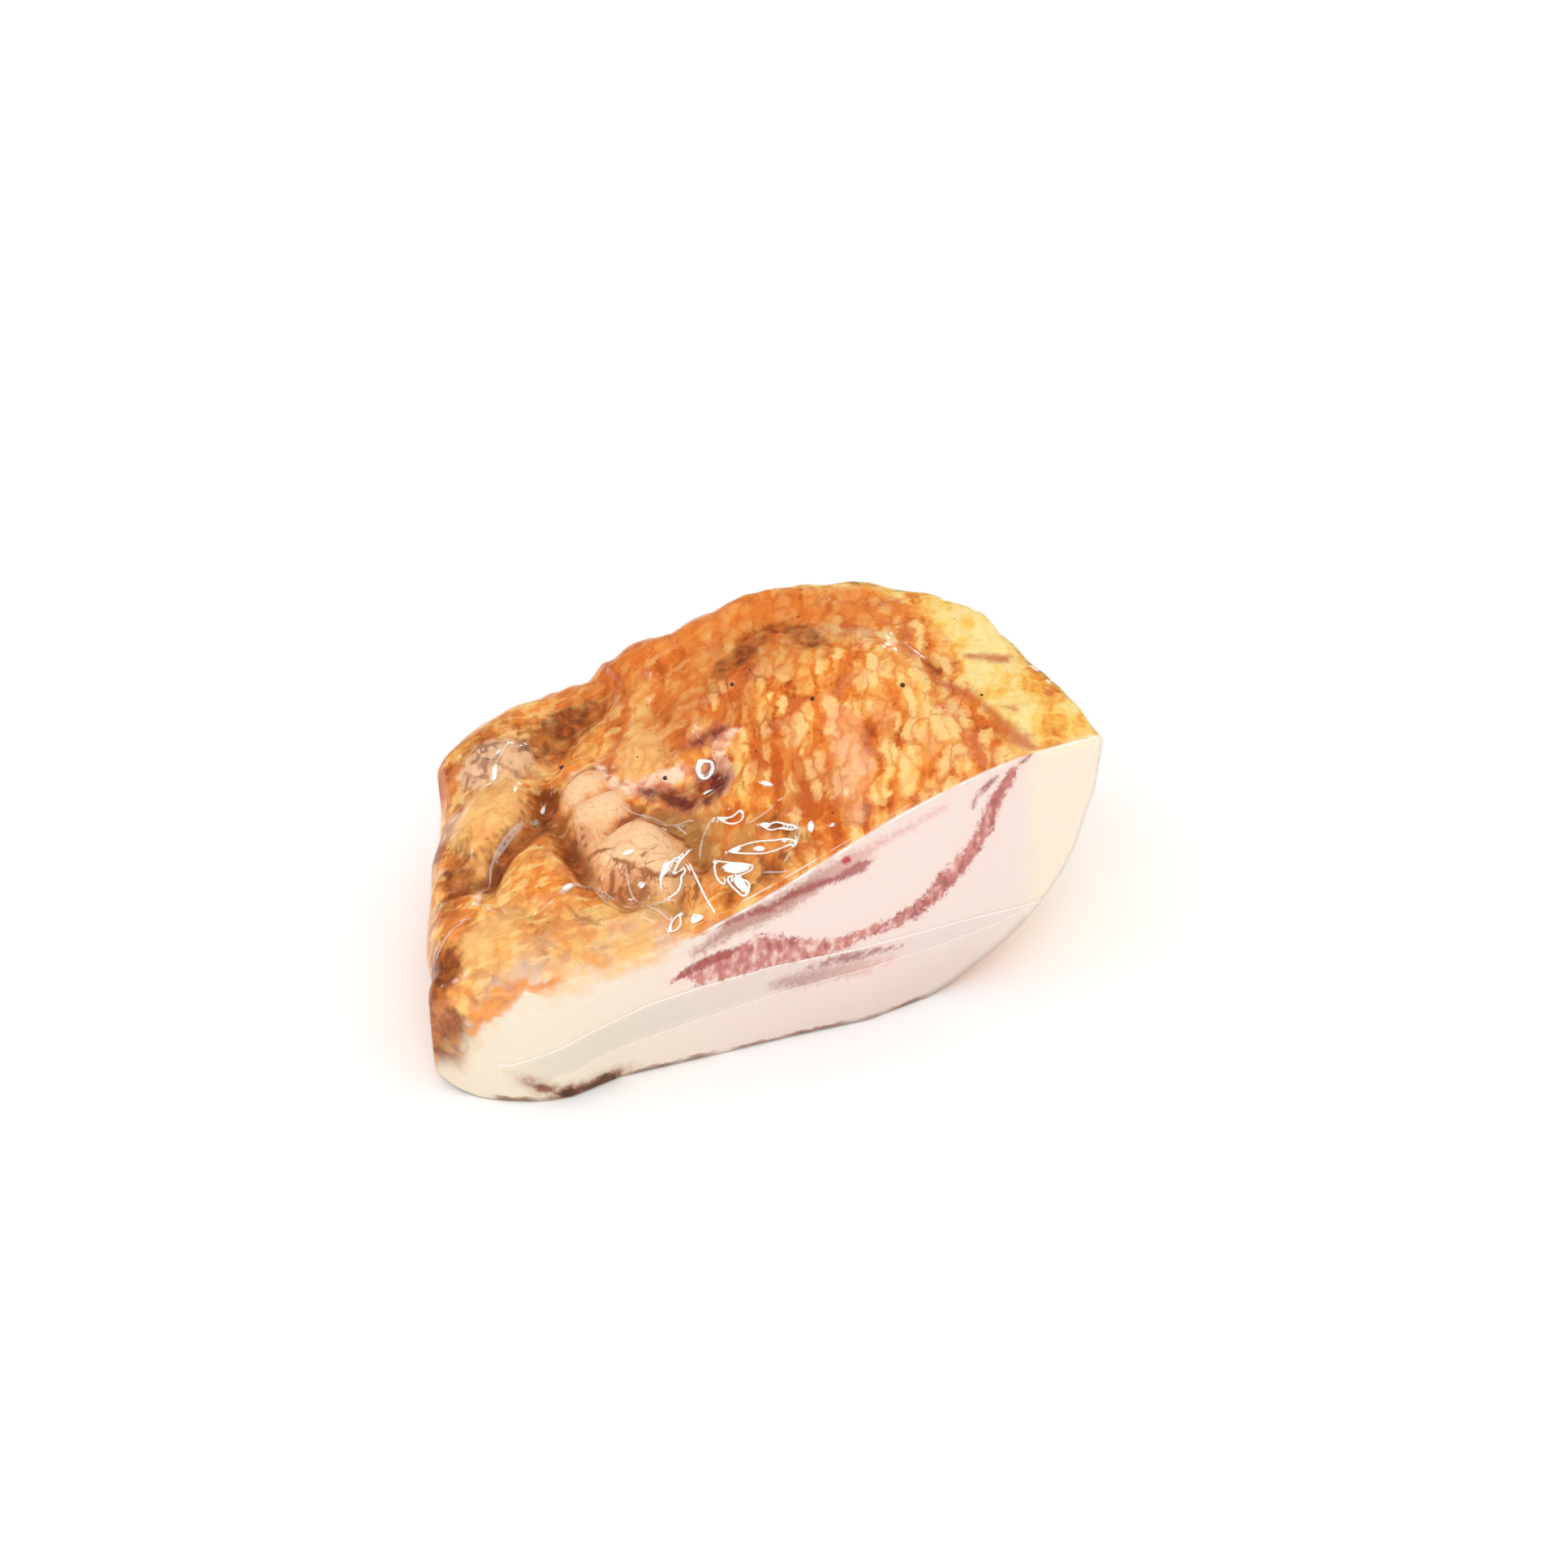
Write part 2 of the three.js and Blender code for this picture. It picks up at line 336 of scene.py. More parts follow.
def shape_cut(x, y, z):
    """Swells the cut, trims its left corner back and rounds its upper edge towards the left."""
    near = 1 - smooth_step(0, 38, y)
    corner = np.clip(1 - x / TRIM["length"], 0, 1) ** 2
    swell = (1 - (x / CROWN_X - 0.8) ** 2) * (1 - (2 * z / HIGH_HEIGHT - 0.7) ** 2)
    soft = SOFT_EDGE * (1 - smooth_step(SOFT_EDGE_END - 50, SOFT_EDGE_END, x)) + 0.1
    down = np.clip(1 - (top_height(x, y) - z) / soft, 0, 1)
    back = np.clip(1 - y / soft, 0, 1)
    drop_y = soft * (1 - np.cos(down * math.pi / 4))
    drop_z = soft * (1 - np.cos(back * math.pi / 4))
    moved = (TRIM["depth"] * corner - CUT_BULGE * np.maximum(0, swell)) * near
    return np.stack([x + TRIM["side"] * corner * near, y + moved + drop_y * back, z - drop_z * down], 1)


def normals_of(points):
    """Each point's normal, as the mean of the squares round it."""
    ring = points[SQUARES]
    faces = np.cross(ring[:, 2] - ring[:, 0], ring[:, 3] - ring[:, 1])
    total = np.stack([
        np.bincount(SQUARES.ravel(), np.repeat(faces[:, axis], 4), len(points)) for axis in range(3)
    ], 1)
    return total / np.linalg.norm(total, axis=1, keepdims=True)


BARE = shape_cut(*onto_slice(CORNERS))
print("bent box, mm:", BARE.min(0).round(1), BARE.max(0).round(1))

# %% [markdown]
# ## The outline's own bumps
#
# A rule alone gives too even an outline. On the real slice the back edge swells and dips, and the
# foot of the cut waves a little. Both are given as rows along a line, and each point near that line
# moves by the row's number, less with distance. So the outline follows the photo and stays smooth.

# %% Trim the outline
# Along the back edge: x, y and rise
BACK_EDGE = [
    (18, 49, 0.4), (24, 61, 0.5), (30, 73, -1.8), (34, 80, 0.2), (40, 87, 4.6), (53, 92, 3.6), (65, 96, 2.4),
    (74, 96, 1.3), (81, 95, 1.2), (86, 96, 4.6), (90, 94, 3.6), (95, 91, 2.3), (100, 89, 1), (107, 89, 1.6),
    (116, 91, 2.2), (127, 93, 2.3), (136, 89, 0.4), (145, 85, -1.2), (154, 79, -2), (163, 71, 0.2),
    (170, 57, 0), (172, 39, -1.2), (173, 20, -1.2),
]
BACK_REACH = 9
# Along the foot of the cut: x and shift backwards. Up the thick end: z and shift outwards
FOOT = [(22, 0), (34, -0.4), (48, 2), (68, 0.7), (92, -0.7), (112, -2.6), (126, -1), (142, 0.4), (150, 0)]
FOOT_REACH = 16
THICK_END = [(34, 0), (47, -0.9), (60, 0.7), (67, 1.2)]


def path_distance(u, v, path):
    """Distance to a line through several points, how far along it the nearest place is, and the side.

    The side is 1 on the left of the line and -1 on its right.
    """
    nearest, place, side = np.full(u.shape, np.inf), np.zeros(u.shape), np.ones(u.shape)
    for n, (a, b) in enumerate(zip(path, path[1:])):
        du, dv = b[0] - a[0], b[1] - a[1]
        u_off, v_off = u - a[0], v - a[1]
        t = np.clip((u_off * du + v_off * dv) / (du * du + dv * dv), 0, 1)
        off = np.hypot(u_off - t * du, v_off - t * dv)
        closer = off < nearest
        place = np.where(closer, n + t, place)
        side = np.where(closer, np.where(du * v_off - dv * u_off < 0, -1, 1), side)
        nearest = np.minimum(nearest, off)
    return nearest, place, side


def along_rows(u, v, rows):
    """Distance to the line of the rows, and their third number at the nearest place."""
    off, place, _ = path_distance(u, v, rows)
    return off, np.interp(place, np.arange(len(rows)), [row[2] for row in rows])


def trim_outline(bare):
    out = normals_of(bare)
    x, y, z = bare.T
    off, rise = along_rows(x, y, BACK_EDGE)
    rise = rise * np.exp(-((off / BACK_REACH) ** 2)) * smooth_step(-0.3, 0.4, out[:, 2])
    bare = bare + out * rise[:, None]
    foot = np.interp(x, *zip(*FOOT)) * np.exp(-((z / FOOT_REACH) ** 2))
    bare[:, 1] += foot * (1 - smooth_step(0, 14, y))
    bare[:, 0] += np.interp(z, *zip(*THICK_END)) * smooth_step(150, 170, x) * (1 - smooth_step(0, 40, y))
    return bare


BARE = trim_outline(BARE)
OUT = normals_of(BARE)
X, Y, Z = BARE.T
ON_CUT = CORNERS[:, 1] == 0
ON_TOP = OUT[:, 2] > 0.3
print("bare slice, mm:", BARE.min(0).round(1), BARE.max(0).round(1))

# %% [markdown]
# ## Lobes, valleys and the gland
#
# The inner side of a jowl is not flat: the knife follows the fat from lobe to lobe, and a pale
# salivary gland lies across it. The part's source has these forms softly. On the meat itself they
# have steeper sides and deeper valleys, because there the film does not bridge them yet. Each lobe
# is a pillow and each valley a groove along a line.

# %% Lobes
# Each row: x, y, half length, half width, turn in degrees, rise
LOBES = [
    (63, 29, 19, 12.5, 108, 4.4), (63, 48, 9, 7.5, 40, 4.8), (62, 58, 9, 7.5, 30, 4), (63, 68, 5, 4.5, 0, 2.6),
    (57.5, 45, 17, 6, 94, 4.2), (54, 24, 8, 6, 110, 3.4), (68, 33, 8, 7, 60, 4.6),
    (37.5, 58, 18.5, 10.5, 61, 5.5), (47, 78, 10.5, 8, 10, 4.5), (41, 30, 18, 10, 90, 4.6),
    (20, 45, 8, 6, 66, 3), (14, 28, 10, 7, 60, 3), (26, 19, 13, 8, 15, 2.5), (44, 13, 15, 7, 0, 1.8),
    (77, 59, 13.5, 8.5, 80, 3.5), (92, 61, 10, 8, 30, 2.5), (87, 50, 6, 5, 0, 2.5),
    (94, 31, 12, 9, 75, 2.6), (96, 88, 19, 15, 0, 3), (62, 97, 14, 7, 15, 2.5),
    (119, 48, 30, 26, 0, 4.4), (118, 25, 20, 8, 84, 3.2), (138, 44, 22, 12, 96, 4.8), (138, 18, 14, 9, 80, 3.2),
]
LOBE_BLEND = 1.4


def oval_place(x, y, row):
    """Along and across an oval of x, y, half length, half width and turn, as shares of its half sizes."""
    cx, cy, length, width, turn = row
    c, s = math.cos(math.radians(turn)), math.sin(math.radians(turn))
    return ((x - cx) * c + (y - cy) * s) / length, ((y - cy) * c - (x - cx) * s) / width


def lobe_rise(x, y):
    rise = np.zeros(x.shape)
    for *oval, full in LOBES:
        along, across = oval_place(x, y, oval)
        lobe = full * np.maximum(0, 1 - along**2 - across**2) ** 0.85
        near = np.maximum(0, 1 - np.abs(rise - lobe) / LOBE_BLEND)
        rise = np.maximum(rise, lobe) + LOBE_BLEND * near**2 / 4
    return rise


RELIEF = lobe_rise(X, Y)
print("lobes, mm:", RELIEF.min().round(2), "to", RELIEF.max().round(2))

# %% Valleys, and how much relief each place has
# Each row: the points along a valley, its half width and its depth
VALLEYS = [
    ([(88, 106), (79, 87), (67, 82), (56, 70), (53, 54)], 4.6, 3),
    ([(53, 52), (51.5, 38), (52, 27), (57, 17)], 3.2, 2.9),
    ([(91, 41), (83, 42), (77, 37), (79, 29), (77, 19)], 4.8, 4.2),
    ([(54, 64), (46, 52), (37, 47), (30, 40), (22, 43), (12, 44)], 2.8, 3.6),
    ([(29, 40), (28, 31), (34, 21), (48, 15), (57, 15)], 2.2, 0.9),
    ([(126, 72), (110, 40), (103, 18)], 4, 0.8),
    ([(150, 64), (147, 26), (152, 6)], 4, 0.6),
    ([(69, 45), (75, 37), (78, 27)], 1.2, 1.2),
    ([(72, 44), (66, 41.5), (61, 39)], 1.3, 1.3),
    ([(70, 55), (65, 53), (61, 54)], 1.3, 1.1),
    ([(62, 16), (57, 19), (55, 24), (57, 28)], 1.2, 0.7),
    ([(66, 20), (59, 17), (53, 21)], 1.3, 0.8),
    ([(92, 48), (90, 62), (86, 74)], 2, 0.9),
    ([(59, 14), (63, 11.5), (67, 5)], 1.1, 1),
    ([(69, 11), (64, 5)], 1, 0.8),
    ([(60, 23), (66, 18.5), (72, 19)], 1.1, 0.9),
]
RELIEF_START, RELIEF_FULL = 1.5, 13
SIDE_RELIEF = 0.4
SIDE_LUMPS = {"seed": 3, "count": 120, "size": 9, "rise": 1.8}


def lumps(seed, count, size, rise):
    """Uneven sides: soft bumps on random places of the net, in millimetres."""
    random = np.random.default_rng(seed)
    total = np.zeros(len(BARE))
    for n in random.choice(np.flatnonzero(OUT[:, 2] < 0.7), count, replace=False):
        off = np.linalg.norm(BARE - BARE[n], axis=1) / (size * random.uniform(0.6, 1.4))
        total = np.maximum(total, random.uniform(0.4, 1) * rise * np.maximum(0, 1 - off**2) ** 1.5)
    return total


for path, half, depth in VALLEYS:
    RELIEF = RELIEF - depth * np.exp(-((path_distance(X, Y, path)[0] / half) ** 2))
off_cut = smooth_step(RELIEF_START, RELIEF_FULL, Y)
off_rind = smooth_step(0.15, 0.75, Z / top_height(X, Y))
ROOM = off_cut * off_rind * np.maximum(SIDE_RELIEF, OUT[:, 2])
uneven = off_cut * smooth_step(2, 12, Z) * (OUT[:, 2] > -0.6)
RELIEF = RELIEF * ROOM + lumps(**SIDE_LUMPS) * uneven
print("meat relief, mm:", RELIEF.min().round(2), "to", RELIEF.max().round(2))

# %% [markdown]
# ## Where each colour lies
#
# The finish follows the anatomy: crust on the outside, white fat on the cut, lean in streaks, a pale
# gland, a smooth yellow band along the thick end. Each of these places becomes a number on the
# points of the mesh: how many millimetres a point lies inside the region. The material turns that
# distance into a soft or a frayed border by adding noise to it, which a plain mask could not do.

# %% Distances to ovals, balls, streaks and lines
FAR = -20


def inside_ovals(x, y, rows):
    """How far inside the nearest of several ovals a point lies: x, y, half length, half width, turn."""
    sizes = [np.hypot(*oval_place(x, y, row)) for row in rows]
    return np.maximum(-50, np.max([(1 - size) * row[3] for size, row in zip(sizes, rows)], axis=0))


def inside_balls(rows):
    """How far inside the nearest of several balls a point lies: x, y, z, radius."""
    return np.max([r - np.linalg.norm(BARE - (x, y, z), axis=1) for x, y, z, r in rows], axis=0)


def inside_streaks(u, v, streaks):
    """How far inside the nearest of several streaks a point lies: rows of u, v, half width."""
    found = [along_rows(u, v, rows) for rows in streaks]
    return np.max([half - off for off, half in found], axis=0)


def nearest_signed(u, v, paths):
    """Distance to the nearest of several lines, above 0 on its left and below 0 on its right."""
    offs = np.array([off * side for off, _, side in (path_distance(u, v, path) for path in paths)])
    return np.take_along_axis(offs, np.abs(offs).argmin(0)[None], 0)[0]


print("middle of the gland is", inside_ovals(np.array(63), np.array(29), [LOBES[0][:5]]), "mm inside it")

# %% Streaks of lean and the dark scab on the cut
# Rows of streaks: x, z, half width. Rows of ovals: x, z, half length, half width, turn
LEAN = [[
    (59.5, 28, 0.3), (64, 29.5, 1.6), (68, 28.4, 3.9), (75, 28.2, 4.2), (82, 29.2, 5.4), (89, 28.4, 4.4),
    (97, 26, 2.6), (104, 25.5, 2), (110.5, 26.4, 1.5), (118.6, 27.3, 1.8), (124.5, 28.9, 2.3),
    (130, 32.5, 2.6), (133.4, 36, 2.8), (138, 39.8, 2.6), (141.7, 43.8, 2.3), (144.3, 48.9, 2.4),
    (146.3, 53.9, 2.3), (149.4, 58, 1.6), (151.2, 62, 1.1),
]]
DEEP = [
    [(61.5, 28.6, 0.5), (66, 30.4, 1.4), (71, 31.3, 1.5), (77, 32.4, 0.7)],
    [(73, 40.6, 0.5), (78, 41.3, 0.8), (82, 41.8, 0.9), (86.5, 41.6, 1), (92, 43.8, 0.9), (98, 44.6, 0.8),
     (104, 44.9, 0.8), (107.5, 45.5, 1.1), (110, 46.2, 1.5), (112.3, 46.9, 0.5)],
    [(95.5, 21.2, 0.4), (102, 20.9, 0.9), (108.8, 20.5, 1.3), (115, 20.4, 0.8), (121, 19.5, 0.4)],
    [(140.4, 53.9, 0.4), (141.5, 57, 0.7), (144.1, 59.6, 0.7), (146.8, 61.3, 0.5)],
    [(153.3, 63.7, 0.4), (155.8, 65.4, 0.5)],
]
FAINT = [
    [(66, 34.4, 0.5), (76, 38.8, 2.2), (84, 40.8, 2.6), (92, 43, 2.6), (100, 46, 2.4), (107, 48.6, 2.2),
     (113, 50.2, 1.2)],
    [(112, 50.4, 0.7), (117, 52, 0.6), (126, 54.2, 0.4), (133, 56.5, 0.1)],
    [(86, 18.6, 0.6), (92, 17.9, 1.8), (100, 17.6, 2), (110, 17, 1.8), (118, 16.5, 0.6)],
]
SCAB = [(27, 4.4, 5, 1.8, -34), (33, 1.6, 5, 2.6, -8), (40, 0.8, 9, 3, 4)]
RED_DOT = (106.5, -1.5, 49.3)

REGIONS = {
    "lean_mm": inside_streaks(X, Z, LEAN),
    "deep_mm": inside_streaks(X, Z, DEEP),
    "faint_mm": inside_streaks(X, Z, FAINT),
    "scab_mm": inside_ovals(X, Z, SCAB),
}
REGIONS = {name: np.where(ON_CUT, inside, FAR) for name, inside in REGIONS.items()}
print("lean on", int((REGIONS["lean_mm"] > 0).sum()), "points of the cut")

# %% Ovals and streaks of colour on the top
# Rows of ovals: x, y, half length, half width, turn
OVALS = {
    "gland_mm": [(63, 29, 19, 12.5, 108), (62.5, 48, 9, 7, 50), (62, 58, 8, 7, 30)],
    "grey_mm": [(47, 78, 10, 7.5, 10)],
    "band_mm": [(141, 92, 22, 5, -26)],
    "tan_mm": [(78, 34, 9, 5, 120), (81, 26, 8, 5, 60), (85, 15, 8, 4, 30), (63, 11, 6, 3, 125),
               (70, 15, 5, 2.6, 70)],
    "amber_mm": [(140, 78, 30, 9, -20), (104, 90, 24, 7, -4)],
    "dusk_mm": [(113, 72, 27, 14, -14), (92, 68, 15, 9, 60), (84, 92, 14, 9, 30)],
    # Brown patches, and painted shade: in the valleys beside the gland and the left lobes, and painted shadows beside
    # the film's creases near the cut
    "brown_and_shade_mm": [(66, 84, 13, 6, 25), (52, 60, 8, 4, 60), (51, 42, 15, 2.6, 88), (24, 46, 9, 3.5, 55),
                 (112, 72, 9, 4, 20), (126, 66, 8, 3, 100), (91, 5, 5, 1.6, 15), (79, 4.5, 3, 1.3, 60),
                 (97, 13, 4, 1.4, 110)],
    "orange_mm": [(107, 14, 12, 6.5, 75), (97, 6, 10, 5, 0), (106, 30, 17, 7, 98), (100, 52, 8, 5, 60),
                  (58, 8, 13, 4, 4)],
    "lined_mm": [(104, 55, 14, 9, 80), (92, 30, 8, 6, 0)],
    "peach_mm": [(37.5, 58, 16, 8.5, 61), (24, 22, 9, 5, 20), (78, 57, 10, 6, 70)],
    "worn_mm": [(58, 18, 9, 6, 110), (56, 40, 5, 2.5, 100)],
}
# Rows of streaks: x, y, half width
STREAKS = {
    "pink_mm": [[(121, 33, 3.5), (118.5, 20, 5), (114, 12, 4.5), (113, 6, 3)]],
    "red_mm": [
        [(91.5, 45, 0.4), (90, 41, 1.6), (88.5, 37, 1.4), (86.5, 34, 0.8), (84.5, 37, 0.9), (82, 40, 1),
         (79, 43, 1.2), (77, 45, 0.9), (74, 48, 0.1)],
        [(90.5, 54, 0.3), (93.5, 53, 1), (97, 52, 0.3)],
    ],
    "flesh_mm": [
        [(68, 65, 0.4), (69.5, 56, 1.2), (72, 50, 1.8), (75.5, 48.5, 2.8), (80, 48.5, 2.8), (84, 48.5, 1.4)],
        [(100, 48.5, 0.8), (95.5, 49, 2), (93.5, 46, 1.8), (91.5, 36, 1.3), (90, 33, 0.6)],
    ],
    # A streak of painted shade along the valley beside the left lobes
    "brown_and_shade_mm": [[(54, 64, 2), (46, 52, 3.2), (37, 47, 2.8), (30, 40, 2.4), (27, 34, 0.8)]],
    "burn_mm": [
        [(153, 24, 0.8), (154, 18, 1.6), (154.5, 11, 2.2), (156, 5, 2.6), (157, 1, 1.6)],
        [(159, 42, 0.8), (163, 40, 1.6), (168, 38, 2)],
        [(157, 19, 0.6), (159.5, 16, 1)],
        [(148, 34, 1), (151, 30, 2.2), (152, 26, 1)],
    ],
}
# Brown corners of the thin end: x, y, z, radius. Where the band starts: y and x
BROWN_BALLS = [(8, 21, 31, 8), (4, 17, 23, 9), (9, 10, 20, 5.5), (5, 12, 12, 8), (9, 29, 34, 5.5), (22, 62, 33, 5)]
BAND_START = [(0, 154), (17, 153), (34, 154), (53, 157), (66, 158), (80, 154)]

REGIONS.update({name: inside_ovals(X, Y, rows) for name, rows in OVALS.items()})
for name, streaks in STREAKS.items():
    inside = inside_streaks(X, Y, streaks)
    REGIONS[name] = np.maximum(inside, REGIONS.get(name, inside))
REGIONS["burn_mm"] = np.where(ON_TOP, REGIONS["burn_mm"], FAR)
REGIONS["brown_and_shade_mm"] = np.maximum(REGIONS["brown_and_shade_mm"], inside_balls(BROWN_BALLS))
REGIONS["band_mm"] = np.maximum(REGIONS["band_mm"], X - np.interp(Y, *zip(*BAND_START)))
print("regions so far:", *REGIONS)

# %% From crust to cut
# The border at the thin end: x and z. Orange strokes that cross it: x, z, half width
CRUST_LINE = [(8, 2), (9.5, 10), (11, 16), (14, 24), (18, 30), (26, 34), (36, 35), (47, 35), (55, 37), (62, 39)]
STROKES = [
    [(12.5, 20, 0.3), (14, 25, 1.2), (18, 29.5, 1.7), (22, 32, 1.5), (26, 33.6, 0.3)],
    [(26, 32.4, 0.4), (31, 33.6, 1.3), (35, 34.6, 0.3)],
    [(34, 35.4, 0.5), (38, 36.6, 1.4), (44, 37.4, 1.6), (49, 38, 0.5)],
    [(54, 38.6, 0.3), (58, 39.6, 0.9), (62, 40.6, 0.3)],
]
BARE_CORNER = (8, 11, 2, 8)

above = np.sign(Z - np.interp(X, *zip(*CRUST_LINE)))
to_line = path_distance(X, Z, CRUST_LINE)[0] * above
to_edge = Z - top_height(X, Y) + 0.5
along_line = mix(to_line, to_edge, smooth_step(58, 72, X))
corner = np.clip(1 - X / TRIM["length"], 0, 1) ** 2
behind = np.where(ON_CUT, 0, Y - TRIM["depth"] * corner + CUT_BULGE)
crust_mm = np.maximum(along_line, behind - mix(14, 3.2, smooth_step(55, 75, X)))
crust_mm = np.where(OUT[:, 2] < -0.6, 6, np.clip(crust_mm, -15, 15))
stroke_mm = inside_streaks(X, Z, STROKES) - 0.35 * Y * smooth_step(26, 34, X)
REGIONS["crust_mm"] = np.minimum(crust_mm, -inside_balls([BARE_CORNER]))
REGIONS["stroke_mm"] = np.where(Y < 13, stroke_mm, FAR)
REGIONS["fray"] = mix(1, 0.08, smooth_step(60, 76, X))
print("crust on", int((REGIONS["crust_mm"] > 0).sum()), "points")

# %% Fold lines, beads and heights
# Dark lines of small folds in the meat, partly painted shade in their creases: x and y
MARKS = [
    [(72, 44), (66, 42), (62.5, 39)], [(55.5, 43), (55, 40)], [(54, 35), (57.5, 33)], [(59, 28), (62, 24), (67, 26)],
    [(57, 26), (55, 23), (53, 20.5)], [(56, 20), (58, 18), (62, 15)], [(61, 22), (63, 19), (62, 16)],
    [(49, 31), (50, 26), (52, 19)], [(70, 43), (72, 36), (76, 31)], [(52, 44), (49, 37), (49, 28)],
    [(60, 62), (66, 64), (70, 60)], [(33, 13), (35, 10)], [(44, 17), (47, 12)],
    [(54, 21), (58, 21.5), (62, 16.5), (59.5, 13), (63, 11), (67, 5)], [(69, 11), (64.5, 5)],
    [(60, 24), (65, 20.5), (69, 16.5), (72, 19)], [(89, 11.5), (88, 5), (84, 3)], [(74, 13), (71, 8)],
    [(56, 15), (60, 9)],
]
no_beads = 0.8 * smooth_step(-14, 10, 96 - X + 0.6 * (Y - 62))  # the left of the crown's back is smooth
REGIONS.update({
    "mark_mm": np.where(ON_TOP, nearest_signed(X, Y, MARKS), -FAR),
    "beady": smooth_step(62, 82, X + 0.3 * (Y - 45)) * (1 - no_beads),
    "height_mm": Z,
    "up": OUT[:, 2],
    "rind_mm": np.where(ON_CUT, 6, 8) - Z,
    "room": ROOM,
})
for name, values in REGIONS.items():
    print(f"{name:10} {values.min():7.1f} to {values.max():5.1f}")

# %% Neighbours on the net, and the hollows
EDGES = np.concatenate([SQUARES[:, [n, (n + 1) % 4]] for n in range(4)])
EDGES = EDGES[EDGES[:, 0] < EDGES[:, 1]]
ENDS = np.concatenate([EDGES[:, 0], EDGES[:, 1]])
OTHERS = np.concatenate([EDGES[:, 1], EDGES[:, 0]])
COUNT = np.bincount(ENDS, minlength=len(BARE))
LEVEL_ROUNDS = 60
FULL_HOLLOW = 1.6


def neighbour_mean(values):
    return np.bincount(ENDS, values[OTHERS], len(BARE)) / COUNT


# How far each place lies below its neighbours; the meat's material darkens such hollows with painted shade.
level_relief = RELIEF
for _ in range(LEVEL_ROUNDS):
    level_relief = neighbour_mean(level_relief)
REGIONS["hollow"] = np.clip((level_relief - RELIEF) / FULL_HOLLOW, -1, 1)
print("edges:", len(EDGES), " hollow places:", int((REGIONS["hollow"] > 0.3).sum()))

# %% Make a mesh from the net
def make_piece(name, points, attributes):
    """A closed mesh of the net's squares. Points are in millimetres, the mesh is in metres."""
    mesh = bpy.data.meshes.new(name)
    mesh.from_pydata(((points - MIDDLE) / 1000).tolist(), [], SQUARES.tolist())
    mesh.shade_smooth()
    for key, values in attributes.items():
        mesh.attributes.new(key, "FLOAT", "POINT").data.foreach_set("value", values.astype(np.float32))
    return add_object(name, mesh)


fleshed = BARE + OUT * RELIEF[:, None]
fleshed[:, 2] = np.maximum(fleshed[:, 2], 0.3)
meat = make_piece("cured_jowl", fleshed, REGIONS)
print("meat:", len(meat.data.vertices), "points")

# %% [markdown]
# ## Lobules of fat
#
# The fat of the inner side is made of thousands of small lobules, each a soft bead pressed against
# its neighbours, long in the direction of the jowl's depth. They follow a rule, so Geometry Nodes
# make them: a Voronoi pattern, bent by noise, gives every bead its own cell, and each cell is raised
# as a dome. One function builds the pattern, and the colours use it too, so that they fall exactly
# on the beads.

# %% The pattern of the beads
BEAD_SIZE = (0.0072, 0.0165, 0.0095)
BEAD_TURN = 0.42
BEAD_WARP = 0.0050
BEAD_RISE = 0.0007
SMALL_BEADS = (1.9, 1.8, 1.8)  # how many small beads lie along a big one


def bead_pattern(bench, place, size, warp):
    """Soft domes from 0 to 1 and a random tone for each big and small bead, for a place in metres."""
    bend = bench.noise_shift(place, 110, 1, 0.5)
    twist = bench.noise_shift(place, 480, 2, 0.6)
    bent = bench.vector("ADD", place, bench.scaled(bend, warp))
    bent = bench.vector("ADD", bent, bench.scaled(twist, warp * 0.5))
    turned = bench.node("ShaderNodeVectorRotate", {"rotation_type": "Z_AXIS"}, {"Vector": bent, "Angle": BEAD_TURN})
    big = bench.vector("DIVIDE", turned, size)
    small = bench.vector("MULTIPLY", big, SMALL_BEADS)
    found = {"along": big, "tight": small}
    for name, beads in (("big", big), ("small", small)):
        cell = bench.cells(beads, "SMOOTH_F1", Smoothness=0.45)
        found[name] = 1 - cell.ramp(0.12, 0.72)
        colour = Wire(bench, cell.socket.node.outputs["Color"])
        found[name + "_tone"] = bench.node("ShaderNodeSeparateXYZ", None, {"Vector": colour})
    return found


# %% A Geometry Nodes tree, its inputs and its end
def new_tree(name, inputs):
    """A tree with a geometry input and named inputs of a kind and a value, and their identifiers."""
    tree = bpy.data.node_groups.new(name, "GeometryNodeTree")
    for way in ("INPUT", "OUTPUT"):
        tree.interface.new_socket("Geometry", in_out=way, socket_type="NodeSocketGeometry")
    values = {}
    for label, (kind, value) in inputs.items():
        socket = tree.interface.new_socket(label, in_out="INPUT", socket_type="NodeSocket" + kind)
        socket.default_value = value
        values[socket.identifier] = value
    bench = Bench(tree)
    entry = tree.nodes.new("NodeGroupInput")
    return bench, [Wire(bench, entry.outputs[n]) for n in range(len(inputs) + 1)], values


def finish_tree(bench, shape, material):
    shape = bench.node("GeometryNodeRealizeInstances", None, {"Geometry": shape})
    shape = bench.node("GeometryNodeSetMaterial", None, {"Geometry": shape, "Material": material})
    leave = bench.tree.nodes.new("NodeGroupOutput")
    bench.tree.links.new(shape.socket, leave.inputs[0])


def named(bench, name):
    return bench.node("GeometryNodeInputNamedAttribute", {"data_type": "FLOAT"}, {"Name": name})


def baked(piece, tree, values):
    """Runs a tree on a piece and keeps the result as a plain mesh."""
    modifier = piece.modifiers.new(tree.name, "NODES")
    modifier.node_group = tree
    for identifier, value in values.items():
        modifier[identifier] = value
    graph = bpy.context.evaluated_depsgraph_get()
    mesh = bpy.data.meshes.new_from_object(piece.evaluated_get(graph), depsgraph=graph)
    piece.modifiers.remove(modifier)
    mesh.name = piece.name
    piece.data = mesh


